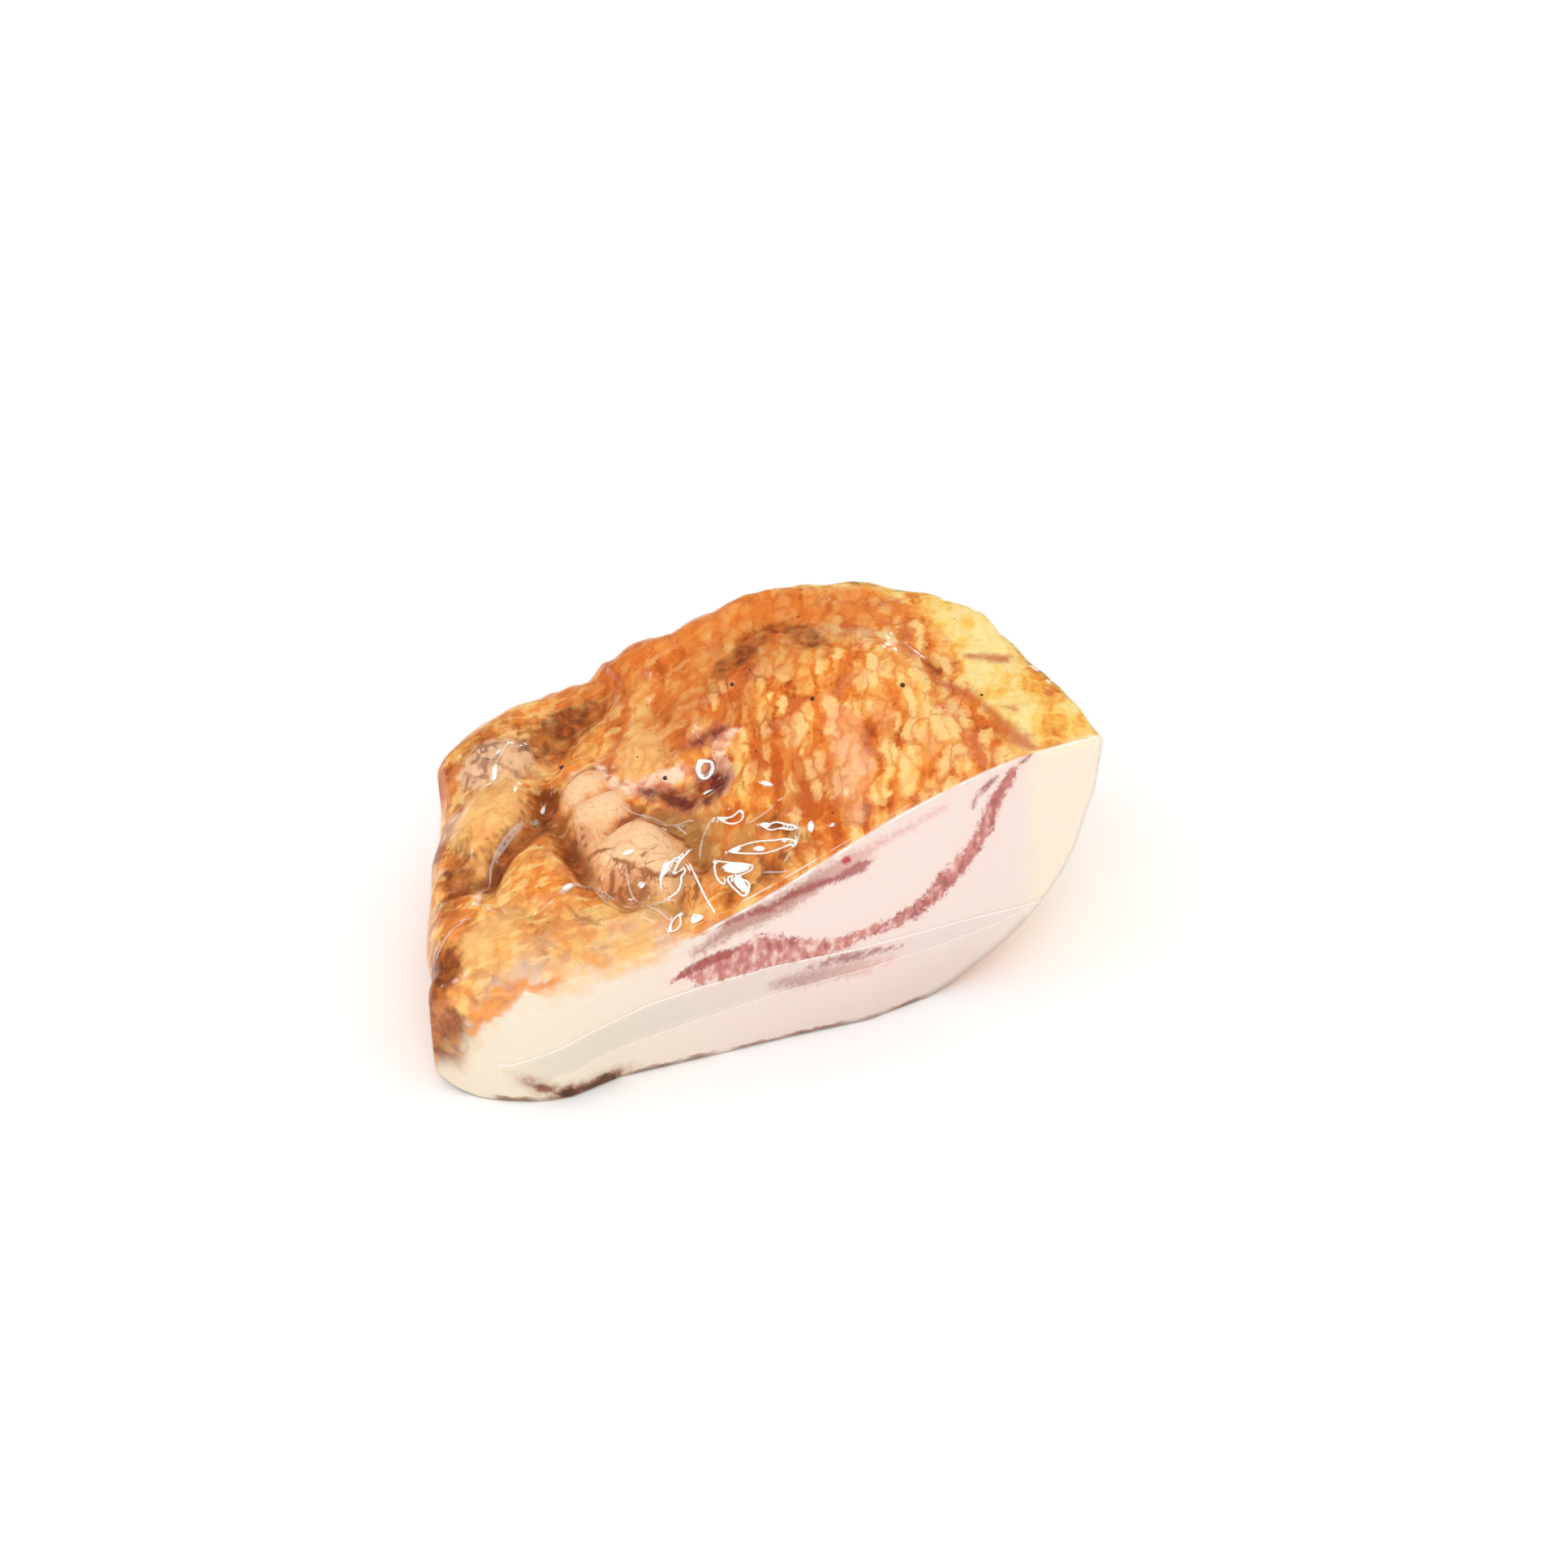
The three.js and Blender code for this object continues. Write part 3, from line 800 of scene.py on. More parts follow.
# %% Geometry Nodes: fat lobules
def lobule_tree(material):
    bench, (mesh, size, warp, rise), values = new_tree("fat_lobules", {
        "Bead size": ("Vector", BEAD_SIZE), "Warp": ("Float", BEAD_WARP), "Rise": ("Float", BEAD_RISE)})
    beads = bead_pattern(bench, bench.node("GeometryNodeInputPosition"), size, warp)
    off_band = 1 - 0.75 * named(bench, "band_mm").ramp(-2, 4)
    off_gland = 1 - 0.5 * named(bench, "gland_mm").ramp(-1, 2)
    calm = off_band * off_gland * (0.3 + 0.7 * named(bench, "beady"))
    height = (beads["big"] * 0.4 + beads["small"] * 0.6 - 0.6) * rise * named(bench, "room") * calm
    offset = bench.scaled(bench.node("GeometryNodeInputNormal"), height)
    shape = bench.node("GeometryNodeSetPosition", None, {"Geometry": mesh, "Offset": offset})
    finish_tree(bench, shape, material)
    return bench.tree, values


paint = Paint("cured_fat")
baked(meat, *lobule_tree(paint.material))
MEAT = np.empty(len(BARE) * 3, np.float32)
meat.data.vertices.foreach_get("co", MEAT)
MEAT = MEAT.reshape(-1, 3) * 1000 + MIDDLE
print("meat after its lobules:", [a.name for a in meat.data.attributes if a.data_type == "FLOAT"])

# %% [markdown]
# ## The look of the crust
#
# One material dresses the whole slice. Its crust runs from pale amber on the beads to burnt orange
# in the creases, with noise at several sizes, from blotches of 13 mm to grain of a third of one.
# Painted in flat tones with quick borders, the noise looks like blotches of fat and not like cloud.

# %% Noise of several sizes
place = paint.scaled(paint.metres, 1000)
broad = paint.noise(place, 1 / 13, 3)
mid = paint.noise(place, 1 / 4.2, 3, distortion=0.9)
patch = paint.noise(place, 1 / 3, 2, 0.6)
fine = paint.noise(place, 1 / 1.1, 3, 0.6)
grain = paint.noise(place, 1 / 0.35, 2)
tint = paint.noise(paint.vector("ADD", place, (31, 7, 3)), 1 / 8, 2)
flow = paint.noise(paint.vector("MULTIPLY", place, (0.13, 0.38, 0.3)), 1, 2, 0.55)
from_middle = paint.node("ShaderNodeSeparateXYZ", None, {"Vector": place}, out="X")
right = from_middle.ramp(-5, 45)

beads = bead_pattern(paint, paint.metres, BEAD_SIZE, BEAD_WARP)
line = paint.cells(beads["tight"])
strokes = paint.noise(paint.vector("MULTIPLY", beads["along"], (2.3, 0.7, 1.2)), 1, 2, 0.55).ramp(0.34, 0.66)
swept = paint.noise(paint.vector("MULTIPLY", beads["along"], (0.9, 0.4, 0.6)), 1, 3, 0.6)
broad_0, mid_0, patch_0, fine_0 = (noise - 0.5 for noise in (broad, mid, patch, fine))  # centred on 0
number, tones = paint.number, paint.tones
beady, hollow = number("beady"), number("hollow")
smooth = 1 - beady
print("patterns:", len(paint.tree.nodes), "nodes")

# %% Tones by name, and how they are laid over each other
TONES = {
    "rust": (196, 96, 36), "painted hollow shade": (134, 70, 30), "orange brown": (200, 108, 44), "straw": (255, 220, 146),
    "salmon": (240, 158, 116), "burnt orange": (198, 90, 36), "amber": (236, 130, 44), "scorched": (196, 82, 36),
    "vein": (168, 92, 52), "gland speck": (216, 140, 88), "worn gland": (210, 128, 78), "fold line": (152, 80, 42),
    "dull skin": (172, 128, 106), "pale skin": (240, 200, 160), "pink fat": (246, 182, 144), "peach": (250, 200, 128),
    "dark orange": (206, 100, 38), "seam": (214, 110, 40), "crease": (120, 50, 16), "tan": (196, 142, 82),
    "torn edge": (252, 206, 130), "round the blood": (206, 118, 90), "blood": (112, 40, 34),
    "cream fat": (238, 225, 204), "white fat": (239, 223, 215), "fat in painted shade": (224, 205, 196),
    "yellow fat": (253, 238, 206), "blush": (248, 214, 208), "fat grain": (238, 224, 212),
    "brown smear": (186, 134, 122), "rose smear": (226, 176, 168), "dark lean": (160, 66, 62),
    "red": (184, 24, 52), "round the scab": (196, 150, 124), "scab edge": (136, 74, 44), "scab": (58, 30, 22),
    "stain": (244, 190, 120), "rind": (140, 92, 58),
}
# How soft the border of each region is, and how far it wanders, in millimetres
BORDERS = {
    "band_mm": (2.5, 8), "gland_mm": (1.2, 3.5), "dusk_mm": (7, 9), "amber_mm": (5, 8),
    "worn_mm": (2.5, 9), "grey_mm": (1.5, 5), "pink_mm": (2, 6), "peach_mm": (2.5, 5),
    "orange_mm": (3, 8), "tan_mm": (2, 5), "brown_and_shade_mm": (2, 8), "flesh_mm": (1, 3),
}


class Coats:
    """A colour with others laid over it. Each is a wire, other coats or the name of a tone."""

    def __init__(self, ground, *coats):
        self.colour = self.wire(ground)
        for share, over in coats:
            self.lay(share, over)

    def wire(self, tone):
        return from_screen(*TONES[tone]) if isinstance(tone, str) else getattr(tone, "colour", tone)

    def lay(self, share, over):
        self.colour = paint.blend(share, self.colour, self.wire(over))


def region(name):
    """1 inside a region and 0 outside it, with a border that wanders."""
    soft, wander = BORDERS[name]
    return (number(name) + patch_0 * wander).ramp(-soft, soft)


print(len(TONES), "tones")

# %% Crust: ground and beads
# Painted shade: the beads and the ground are darker in the hollows.
pebble = beads["small"] + (beads["small_tone"] - 0.5) * 0.35 + broad_0 * 1.3 + patch_0 * 0.8
stone = beads["big"] + (beads["big_tone"] - 0.5) * 0.4 + patch_0 * 0.9 + broad_0 * 0.5
pale = pebble.ramp(0.08, 0.72).at_least(stone.ramp(0.30, 0.90) * 0.9) - hollow * 0.3
pale = pale * (0.35 + beady * 0.55) + smooth * 0.36 + mid_0 * 0.8 + broad_0 * smooth * 0.8
pale = (pale + (strokes - 0.5) * (beady * 0.45 + 0.10) + right * 0.12).painted(0.36)
ground = 0.5 + right * 0.22 + mid_0 * 1.1 + broad_0 * 0.9
ground = ground + (strokes - 0.5) * (beady * 0.27 + 0.08) - hollow * 0.55
ground = tones(
    ground.painted(0.2), (0.08, (150, 66, 20)), (0.28, (188, 90, 30)), (0.46, (218, 114, 44)),
    (0.66, (236, 136, 54)), (0.88, (248, 158, 72)))
tone = beads["small_tone"] * 0.16 + tint * 0.34 + strokes * 0.20 + pale * 0.20
tone = tone + line.ramp(0, 0.4) * 0.12 + right * 0.14 - 0.05
bright = tones(
    tone, (0.24, (238, 146, 64)), (0.40, (249, 172, 84)), (0.55, (253, 194, 106)), (0.72, (254, 212, 138)))
crust = Coats(ground, (pale, bright))
crust.lay(fine.ramp(0.54, 0.66) * 0.16, "rust")

# Hollows are darkened with painted shade, and smooth places have long streaks that flow over them
hollow_shade = (hollow + mid_0 * 0.5).ramp(0.22, 0.85)
upper = 0.25 + number("up").ramp(0.05, 0.55) * 0.75
crust.lay(hollow_shade * (0.62 - beady * 0.30), "painted hollow shade")
crust.lay(flow.ramp(0.52, 0.60) * smooth * 0.45, "orange brown")
crust.lay((1 - flow.ramp(0.38, 0.46)) * smooth * upper * 0.60, "straw")
crust.lay(tint.ramp(0.54, 0.66) * 0.3, "salmon")
print("crust:", len(paint.tree.nodes), "nodes")

# %% [markdown]
# ## The regions of the crust
#
# Over the crust lie the places that differ: the smooth yellow band of the thick end, the pale
# gland with its thin veins, a shiny patch of skin, brown and orange stains, painted shade in some
# valleys and beside the film's creases, and a deep red mark beside the gland. A painter would glaze
# them on one by one, from the widest to the smallest. So do these cells: each line lays one tone
# over all that is there, by the region's border.

# %% Crust: band and gland
on_band, on_gland = region("band_mm"), region("gland_mm")
band = tones(
    mid * 0.35 + swept * 0.7,
    (0.37, (218, 118, 38)), (0.43, (246, 168, 66)), (0.50, (254, 208, 104)), (0.60, (255, 234, 160)))
crust.lay(region("dusk_mm") * 0.42, "burnt orange")
crust.lay(region("amber_mm") * (0.36 + strokes * 0.45), "amber")
crust.lay(on_band * 0.9, band)
crust.lay((number("burn_mm") + patch_0 * 5).ramp(-1.6, 2) * 0.75, "scorched")

vein_shift = paint.scaled(paint.noise_shift(place, 1 / 3, 2, 0.5), 0.3)
vein = paint.cells(paint.vector("ADD", paint.scaled(place, 0.15), vein_shift))
# The gland is a little darker in its hollows: painted shade.
gland = Coats(tones(
    patch * 0.7 + broad * 0.3 - hollow * 0.25,
    (0.20, (196, 118, 68)), (0.33, (236, 164, 110)), (0.46, (252, 194, 140)), (0.62, (255, 212, 166))))
gland.lay((1 - vein.ramp(0, 0.06)) * tint.ramp(0.50, 0.58) * 0.35, "vein")
gland.lay(fine.ramp(0.50, 0.68) * 0.3, "gland speck")
gland.lay(region("worn_mm") * 0.6, "worn gland")
crust.lay(on_gland * 0.94, gland)
print("band and gland:", len(paint.tree.nodes), "nodes")

# %% Crust: skin, seams and folds
shiny = Coats("dull skin", (mid.ramp(0.40, 0.58), "pale skin"))
crust.lay(region("grey_mm") * 0.9, shiny)
crust.lay(region("pink_mm") * (0.35 + beads["small"] * 0.5), "pink fat")
crust.lay(region("peach_mm") * (0.35 + broad.ramp(0.36, 0.62) * 0.35 + mid * 0.3), "peach")
crust.lay(region("orange_mm") * (0.86 - beads["small"] * 0.3 - strokes * 0.5), "dark orange")

bare_crust = (1 - on_gland) * (1 - on_band * 0.85)
seam = (1 - line.ramp(0.01, 0.15)) * (0.04 + 0.40 * mid.ramp(0.44, 0.60) + 0.10 * tint) * (0.3 + beady * 0.7)
crease = (1 - line.ramp(0, 0.11)) * tint.ramp(0.48, 0.58) * (0.6 + beady * 0.4)
lined = 0.14 + 0.40 * number("lined_mm").ramp(-4, 4)
crust.lay(seam * bare_crust, "seam")
crust.lay(crease * bare_crust * lined, "crease")
crust.lay(region("tan_mm") * 0.6, "tan")
# Dark fold lines: partly painted shade in the creases of small folds.
off_mark = (number("mark_mm") + patch_0 * 2).absolute()
crust.lay((1 - off_mark.ramp(0.25, 1.15)) * mid.ramp(0.34, 0.52) * 0.8, "fold line")
print("seams and folds:", len(paint.tree.nodes), "nodes")

# %% Crust: torn border, brown stains with painted shade, and the deep red mark
torn = number("fray")
edge = number("crust_mm") + (patch_0 * 2.5 + broad_0 * 7) * torn
crust.lay((1 - edge.ramp(1, 14)) * torn * (0.15 + pale * 0.45), "torn edge")
# Brown patches, partly painted shade in valleys and beside the film's creases.
brown = tones(mid, (0.35, (112, 52, 20)), (0.5, (152, 78, 32)), (0.62, (190, 106, 50)))
crust.lay(region("brown_and_shade_mm") * (0.95 - beads["small"] * 0.35), brown)
flesh = tones(mid, (0.36, (210, 126, 98)), (0.44, (240, 180, 148)), (0.56, (255, 224, 198)))
crust.lay(region("flesh_mm") * 0.85, flesh)
blood = number("red_mm") + 0.9 + patch_0 * 4.5 + fine_0 * 1.5
crust.lay(blood.ramp(-2.2, -0.5) * 0.5, "round the blood")
crust.lay(blood.ramp(-1, 1.3) * (1.1 - beads["small"] * 0.8).at_most(0.88), "blood")
print("stains:", len(paint.tree.nodes), "nodes")

# %% [markdown]
# ## The look of the cut
#
# The cut is creamy fat at the thin end and whiter at the thick end, a little pink near the lean. The
# lean is a streak whose border is the distance plus noise, so it frays as muscle does between fat.
# Fat lets light in a little, so a small subsurface share softens the whole slice.

# %% Cut: fat
fat = Coats("cream fat", (from_middle.ramp(-70, 10), "white fat"))
# Darker towards the foot of the cut: painted shade.
low = number("height_mm") + broad_0 * 14
fat.lay((1 - low.ramp(2, 26)) * from_middle.ramp(-40, 30) * 0.68, "fat in painted shade")
fat.lay(from_middle.ramp(62, 70) * number("crust_mm").ramp(-4.5, -2) * 0.8, "yellow fat")
lean_mm, faint_mm, deep_mm = (number(name) for name in ("lean_mm", "faint_mm", "deep_mm"))
fat.lay(lean_mm.at_least(faint_mm).at_least(deep_mm).ramp(-6, 1) * (0.15 + mid * 0.5), "blush")
fat.lay(fine_0.at_least(0) * 0.18, "fat grain")

# Lean: the faint smear, the streak with its fibres, and its dark core
ragged = fine_0 * 4.4 + mid_0 * 3
fibre = paint.noise(paint.vector("MULTIPLY", place, (1, 1, 0.6)), 1 / 1.9, 2, 0.5)
lean = tones(
    fibre - from_middle.ramp(10, 35) * 0.04,
    (0.30, (166, 78, 76)), (0.42, (194, 112, 104)), (0.54, (208, 138, 130)), (0.70, (238, 202, 194)))
smear = Coats("brown smear", (from_middle.ramp(2, 26), "rose smear"))
fat.lay((faint_mm + ragged).ramp(-1.8, 1.6) * 0.85, smear)
fat.lay((lean_mm + ragged).ramp(-0.6, 0.9) * 0.92, lean)
fat.lay((deep_mm + ragged * 0.5).ramp(-0.8, 0.7) * 0.8, "dark lean")

# One red dot, and the dark scab at the foot
dot = paint.vector("DISTANCE", place, tuple(np.array(RED_DOT) - MIDDLE), out="Value") + fine_0 * 1.6
fat.lay((1 - dot.ramp(0.8, 1.7)) * 0.9, "red")
scab = number("scab_mm") + patch_0 * 3 + fine_0 * 1.2
fat.lay(scab.ramp(-2.2, 0.6) * 0.55, "round the scab")
fat.lay(scab.ramp(-0.3, 1.1) * 0.9, "scab edge")
fat.lay((scab + mid_0 * 4).ramp(0.7, 1.9) * 0.85, "scab")
stain = edge.ramp(-7, 1) * (mid * 0.6 + broad * 0.4).ramp(0.46, 0.60) * torn
fat.lay(stain * 0.5, "stain")
print("cut:", len(paint.tree.nodes), "nodes")

# %% From crust to cut, and the shader
look = Coats(fat, ((edge / (0.3 + torn * 3.2)).ramp(-1, 1), crust))
stroke = (number("stroke_mm") + mid_0 * 5).ramp(-0.9, 0.9)
look.lay(stroke * 0.8, tones(mid, (0.38, (206, 104, 30)), (0.60, (238, 148, 56))))
rind = (number("rind_mm") - 4.6 + mid_0 * 3).ramp(-0.4, 0.5) * (broad - 0.1).ramp(0.25, 0.5)
look.lay(rind * 0.85, "rind")
bump = {"Strength": 0.35, "Distance": 0.0004, "Height": fine * 0.5 + grain * 0.2}
paint.finish(paint.node("ShaderNodeBsdfPrincipled", None, {
    "Base Color": look.colour,
    "Roughness": 0.42 + fine_0 * 0.25,
    "Normal": paint.node("ShaderNodeBump", None, bump, out="Normal"),
    "Specular IOR Level": 0.03,
    "Subsurface Weight": 0.12,
    "Subsurface Radius": (1, 0.5, 0.3),
    "Subsurface Scale": 0.0009,
}))

# %% [markdown]
# ## The film
#
# Pulled tight by the vacuum, the film touches the high places and spans the low ones like a skin.
# A real one would be simulated as cloth. Here the same balance is found with a few lines: every
# point of the film moves to the mean of its neighbours, sinks a little, and is stopped by the meat.
# After some hundred rounds that is a stretched skin, on the same net as the meat. Near the gland
# the film is slack, and there a flat plane is laid through it for the wrinkles to start from.

# %% Stretch the film
GAP = 0.3
SUCTION = 0.05
ROUNDS = 700
SLACK_OVAL = {"middle": (84, 18), "half": (30, 21), "turn": 22}

along, across = oval_place(X, Y, (*SLACK_OVAL["middle"], 1, 1, SLACK_OVAL["turn"]))
group = 1 - np.hypot(along / SLACK_OVAL["half"][0], across / SLACK_OVAL["half"][1])
slack = smooth_step(0, 0.4, group) * smooth_step(0.8, 4, Y) * ON_TOP

rest = ((MEAT - BARE) * OUT).sum(1) + GAP
height = rest
for _ in range(ROUNDS):
    height = np.maximum(rest, neighbour_mean(height) - SUCTION * (1 - slack))
flat = (slack > 0.3) & (REGIONS["gland_mm"] < -1)
design = np.stack([np.ones(len(X)), X, Y], 1)
plane = np.linalg.lstsq(design[flat], (BARE + OUT * height[:, None])[flat, 2], rcond=None)[0]
fit = (design @ plane - Z) / np.maximum(0.5, OUT[:, 2])
height = mix(height, np.maximum(rest, fit), slack)
print("film stands off the meat by up to", (height - rest).max().round(2), "mm")

# %% [markdown]
# ## Facets, a doubled fold and creases
#
# Where a curved thing is wrapped in a flat film, the film has too much length somewhere and buckles.
# Near the gland it forms a group of stiff little facets: here a field of shallow domes that meet in
# sharp valleys. Across the cut a fold of doubled film runs as a grey band with a thin bright edge,
# partly a whiter doubled edge and partly a painted highlight. The creases beside the gland catch
# the lamp as white lines, loops and spots, and these highlights are painted. What a lamp does there
# depends on folds finer than any net, so they are drawn at their places in the photo as lines with a
# low ridge, and the material paints them white.

# %% Facets
FACET = (12, 7)  # length and width of a facet
BEND = (62, 30)  # radius of its dome along and across


def facets(u, v, seed):
    """Shallow domes that meet in sharp valleys: the highest of many tilted domes at each place."""
    random = np.random.default_rng(seed)
    best = np.full(u.shape, -9)
    for i in range(-4, 5):
        for j in range(-5, 6):
            cu = (i + random.uniform(-0.3, 0.3) + 0.5 * (j % 2)) * FACET[0]
            cv = (j + random.uniform(-0.3, 0.3)) * FACET[1]
            du, dv = u - cu, v - cv
            skew = random.uniform(-0.5, 0.5)
            tilt = random.normal(0, 0.035, 2)
            dome = tilt[0] * du + tilt[1] * dv - (du + skew * dv) ** 2 / (2 * BEND[0]) - dv**2 / (2 * BEND[1])
            best = np.maximum(best, dome + random.uniform(-0.1, 0.1))
    return best


wrinkled = slack > 0
buckle = np.zeros(len(BARE))
buckle[wrinkled] = facets(along[wrinkled], across[wrinkled], 5)
height = np.maximum(rest, height + (buckle + 0.35) * slack)
print("facets, mm:", buckle.min().round(2), "to", buckle.max().round(2))

# %% The doubled fold on the cut
# The upper and the lower edge of the fold: x and z. How far its upper edge stands out
FOLD_TOP = [(20, 12), (25.5, 14.4), (37.4, 18.8), (54.2, 22.9), (66.8, 24), (85.9, 24.4), (107.7, 22.8),
            (125.3, 22.3), (141, 21.7), (156, 20.8), (166, 22)]
FOLD_LOW = [(20, 4), (31, 7.4), (43.5, 10.4), (64.6, 13.7), (85.9, 15.6), (107.7, 16.1), (130, 16.4),
            (145.7, 17.5), (158, 20.4), (166, 22)]
FOLD_RISE = 0.16

under_top = np.interp(X, *zip(*FOLD_TOP)) - Z
over_low = Z - np.interp(X, *zip(*FOLD_LOW))
in_fold = np.where(ON_CUT, np.minimum(np.minimum(under_top, over_low), (X - 21) / 4), FAR)
fold_step = smooth_step(-0.2, 0.6, under_top) * (1 - smooth_step(-3, 0.5, -over_low))
height += FOLD_RISE * fold_step * ON_CUT * smooth_step(10, 20, X) * (1 - smooth_step(150, 165, X))
print("the fold is up to", (in_fold.max() * 2).round(1), "mm wide")

# %% Creases and spots of glare, painted as highlights
# Loops and lines of painted highlight, and fainter ones: x and y
LOOPS = [
    [(85, 27), (86.5, 25.5), (88.5, 24.5), (90.5, 25), (91, 24), (90, 22), (87.5, 22.5), (86, 24.5), (85, 27)],
    [(92.5, 18), (94.5, 16.5), (96, 16.5), (98, 13), (99.5, 11.5), (98.5, 10.2), (96, 14), (94, 14.5), (92.5, 18)],
    [(83, 15.5), (86, 15), (89, 14), (92.5, 12), (96, 9.5), (98, 6.5), (95, 7.6), (91.5, 8), (88.5, 10), (86, 12),
     (83, 15.5)],
    [(79.5, 15), (82, 12), (86.5, 7.5), (85.5, 6), (80, 8), (78, 7), (77.5, 10), (78.5, 13.5), (79.5, 15)],
    [(79.5, 8.5), (81.5, 8), (82.5, 5), (83.5, 3.5), (82, 1.5), (80.5, 1), (79.5, 5), (79.5, 8.5)],
    [(75.5, 22.5), (73, 22.5), (70, 20.5), (67, 18), (65, 14.5)],
    [(75.5, 22), (72.5, 21), (70, 18.5), (69, 16), (72.5, 19), (72.5, 17), (70.5, 15.5), (70, 13.5), (68, 11.5),
     (65, 11)],
    [(74, 18), (73.5, 12), (73, 7), (73, 1.5)], [(66, 5.5), (63.5, 4.8), (61, 1.6), (64.3, 1.4), (66, 5.5)],
    [(68.5, 3.5), (70.8, 1.2), (66.6, 1), (68.5, 3.5)],
    [(89, 47.5), (91.5, 46), (91, 44), (88, 43.5), (87, 45), (89, 47.5)],
]
CREASES = [
    [(35, 21), (42, 22), (50, 27), (52, 18)], [(34, 46), (41, 51), (49, 57), (52, 62)],
    [(68, 45), (75, 37), (77, 28)], [(24, 37), (26, 31)], [(28, 41), (24, 30), (17, 28), (12, 24)],
    [(29, 30), (29, 20)], [(56, 16), (61, 11), (63, 5)], [(41, 69), (45, 74), (47, 78)],
    [(53, 63), (50, 57), (41, 52), (33, 46), (29, 39), (24, 33)], [(40, 22), (45, 25), (50, 27), (54, 20)],
    [(43, 72), (47, 77), (51, 82)], [(24, 33), (20, 35)], [(24, 33), (27, 28)], [(24, 33), (19, 29)],
    [(60, 24), (58, 18), (60, 13), (66, 10)], [(77, 19), (80, 24), (84, 27)], [(99, 22), (95, 20), (91, 20)],
    [(70, 40), (76, 33), (80, 30)], [(102, 15), (99, 8), (93, 4)], [(87, 4), (92, 1.5)], [(56, 11), (60, 6), (60, 2)],
]
# Painted spots of glare, and dark middles in two of them: x, y, half length, half width, turn
GLARE = [
    (93.6, 17, 1.8, 0.9, -50), (84.8, 14.6, 1.4, 0.9, -20), (89.5, 11.2, 1.6, 0.8, -45), (95.3, 9.4, 1.2, 0.8, -45),
    (82.6, 9.6, 4, 1.6, -42), (81.4, 4.6, 3.2, 1.1, -82), (67.6, 18.4, 3.6, 0.9, 50), (68.6, 1.8, 1.4, 1, 0),
    (87, 39.6, 1.8, 1.1, -45), (98.8, 28.4, 1.8, 0.6, -45), (102.2, 9.5, 1.8, 0.8, 65), (106.5, 6.8, 1.2, 0.7, -30),
    (62.3, 28, 1.9, 0.9, -10), (61.5, 18.3, 1.3, 0.8, -30), (62, 2.6, 1.4, 0.6, 60), (89.2, 45.6, 2.5, 1.9, 20),
    (44.5, 73, 2.6, 0.6, 60), (51.5, 61, 1.6, 0.5, 55), (47, 78.5, 1.3, 0.5, 60), (50.5, 81.5, 1.4, 0.4, 75),
    (42, 70, 0.8, 0.5, 0), (24, 33.5, 0.9, 0.6, 30), (44.5, 24.6, 1.8, 0.7, 30), (73.5, 33, 1, 0.4, 120),
    (99.5, 22, 1.4, 0.4, 15),
]
GLARE_MIDDLES = [(89.4, 45.4, 1.3, 0.8, 20), (78.9, 10.8, 1.5, 1, 70)]
CREASE_RISE, CREASE_REACH = 0.25, 1.1
FAINT_SHARE = 0.35


def rounded(path):
    """A line with its corners cut off two times over. Its ends stay."""
    for _ in range(2):
        cut = [mix(np.array(a), np.array(b), share) for a, b in zip(path, path[1:]) for share in (0.25, 0.75)]
        path = [path[0], *cut, path[-1]]
    return [tuple(place) for place in path]


loops = [rounded(path) for path in LOOPS]
off_loop = np.abs(nearest_signed(X, Y, loops))
crease_off = nearest_signed(X, Y, loops + [rounded(path) for path in CREASES])
crease_off = np.where(ON_TOP & ~ON_CUT, crease_off, -FAR)
glare = np.minimum(inside_ovals(X, Y, GLARE), -inside_ovals(X, Y, GLARE_MIDDLES))
glare = np.where(ON_TOP & ~ON_CUT, glare, FAR)
height += CREASE_RISE * np.maximum(0, 1 - np.abs(crease_off) / CREASE_REACH)
print(len(LOOPS), "loops,", len(CREASES), "faint creases,", len(GLARE), "spots of glare")

# %% The film's mesh
FILM = BARE + OUT * height[:, None]
FILM[:, 2] = np.maximum(FILM[:, 2], 0)
slack = np.maximum(slack, 0.6 - 0.6 * smooth_step(0.6, 3, np.abs(crease_off)))
film = make_piece("vacuum_film", FILM, {
    "slack": np.clip(slack + 0.4 * smooth_step(0.5, 1.4, height - rest), 0, 1),
    "haze": np.clip(0.03 * smooth_step(0.8, 2.4, height - rest) * (1 - slack), 0, 1),
    "pleat_mm": in_fold,
    "fold_mm": np.where(ON_CUT & (X > 17), -under_top, -FAR),
    "fold_low_mm": np.where(ON_CUT & (X > 30), over_low, -FAR),
    # edge_mm places the painted highlights along the cut's upper edge
    "edge_mm": np.where(X > 66, np.where(ON_CUT, Z - top_height(X, Y), Y + CUT_BULGE), -FAR),
    "along_mm": X,
    "crease_mm": crease_off,
    "crease_near": np.abs(crease_off),
    "highlight_share": np.where(off_loop < np.abs(crease_off) + 0.1, 1, FAINT_SHARE),
    "glare_mm": glare,
})
print("film, mm:", FILM.min(0).round(1), FILM.max(0).round(1))
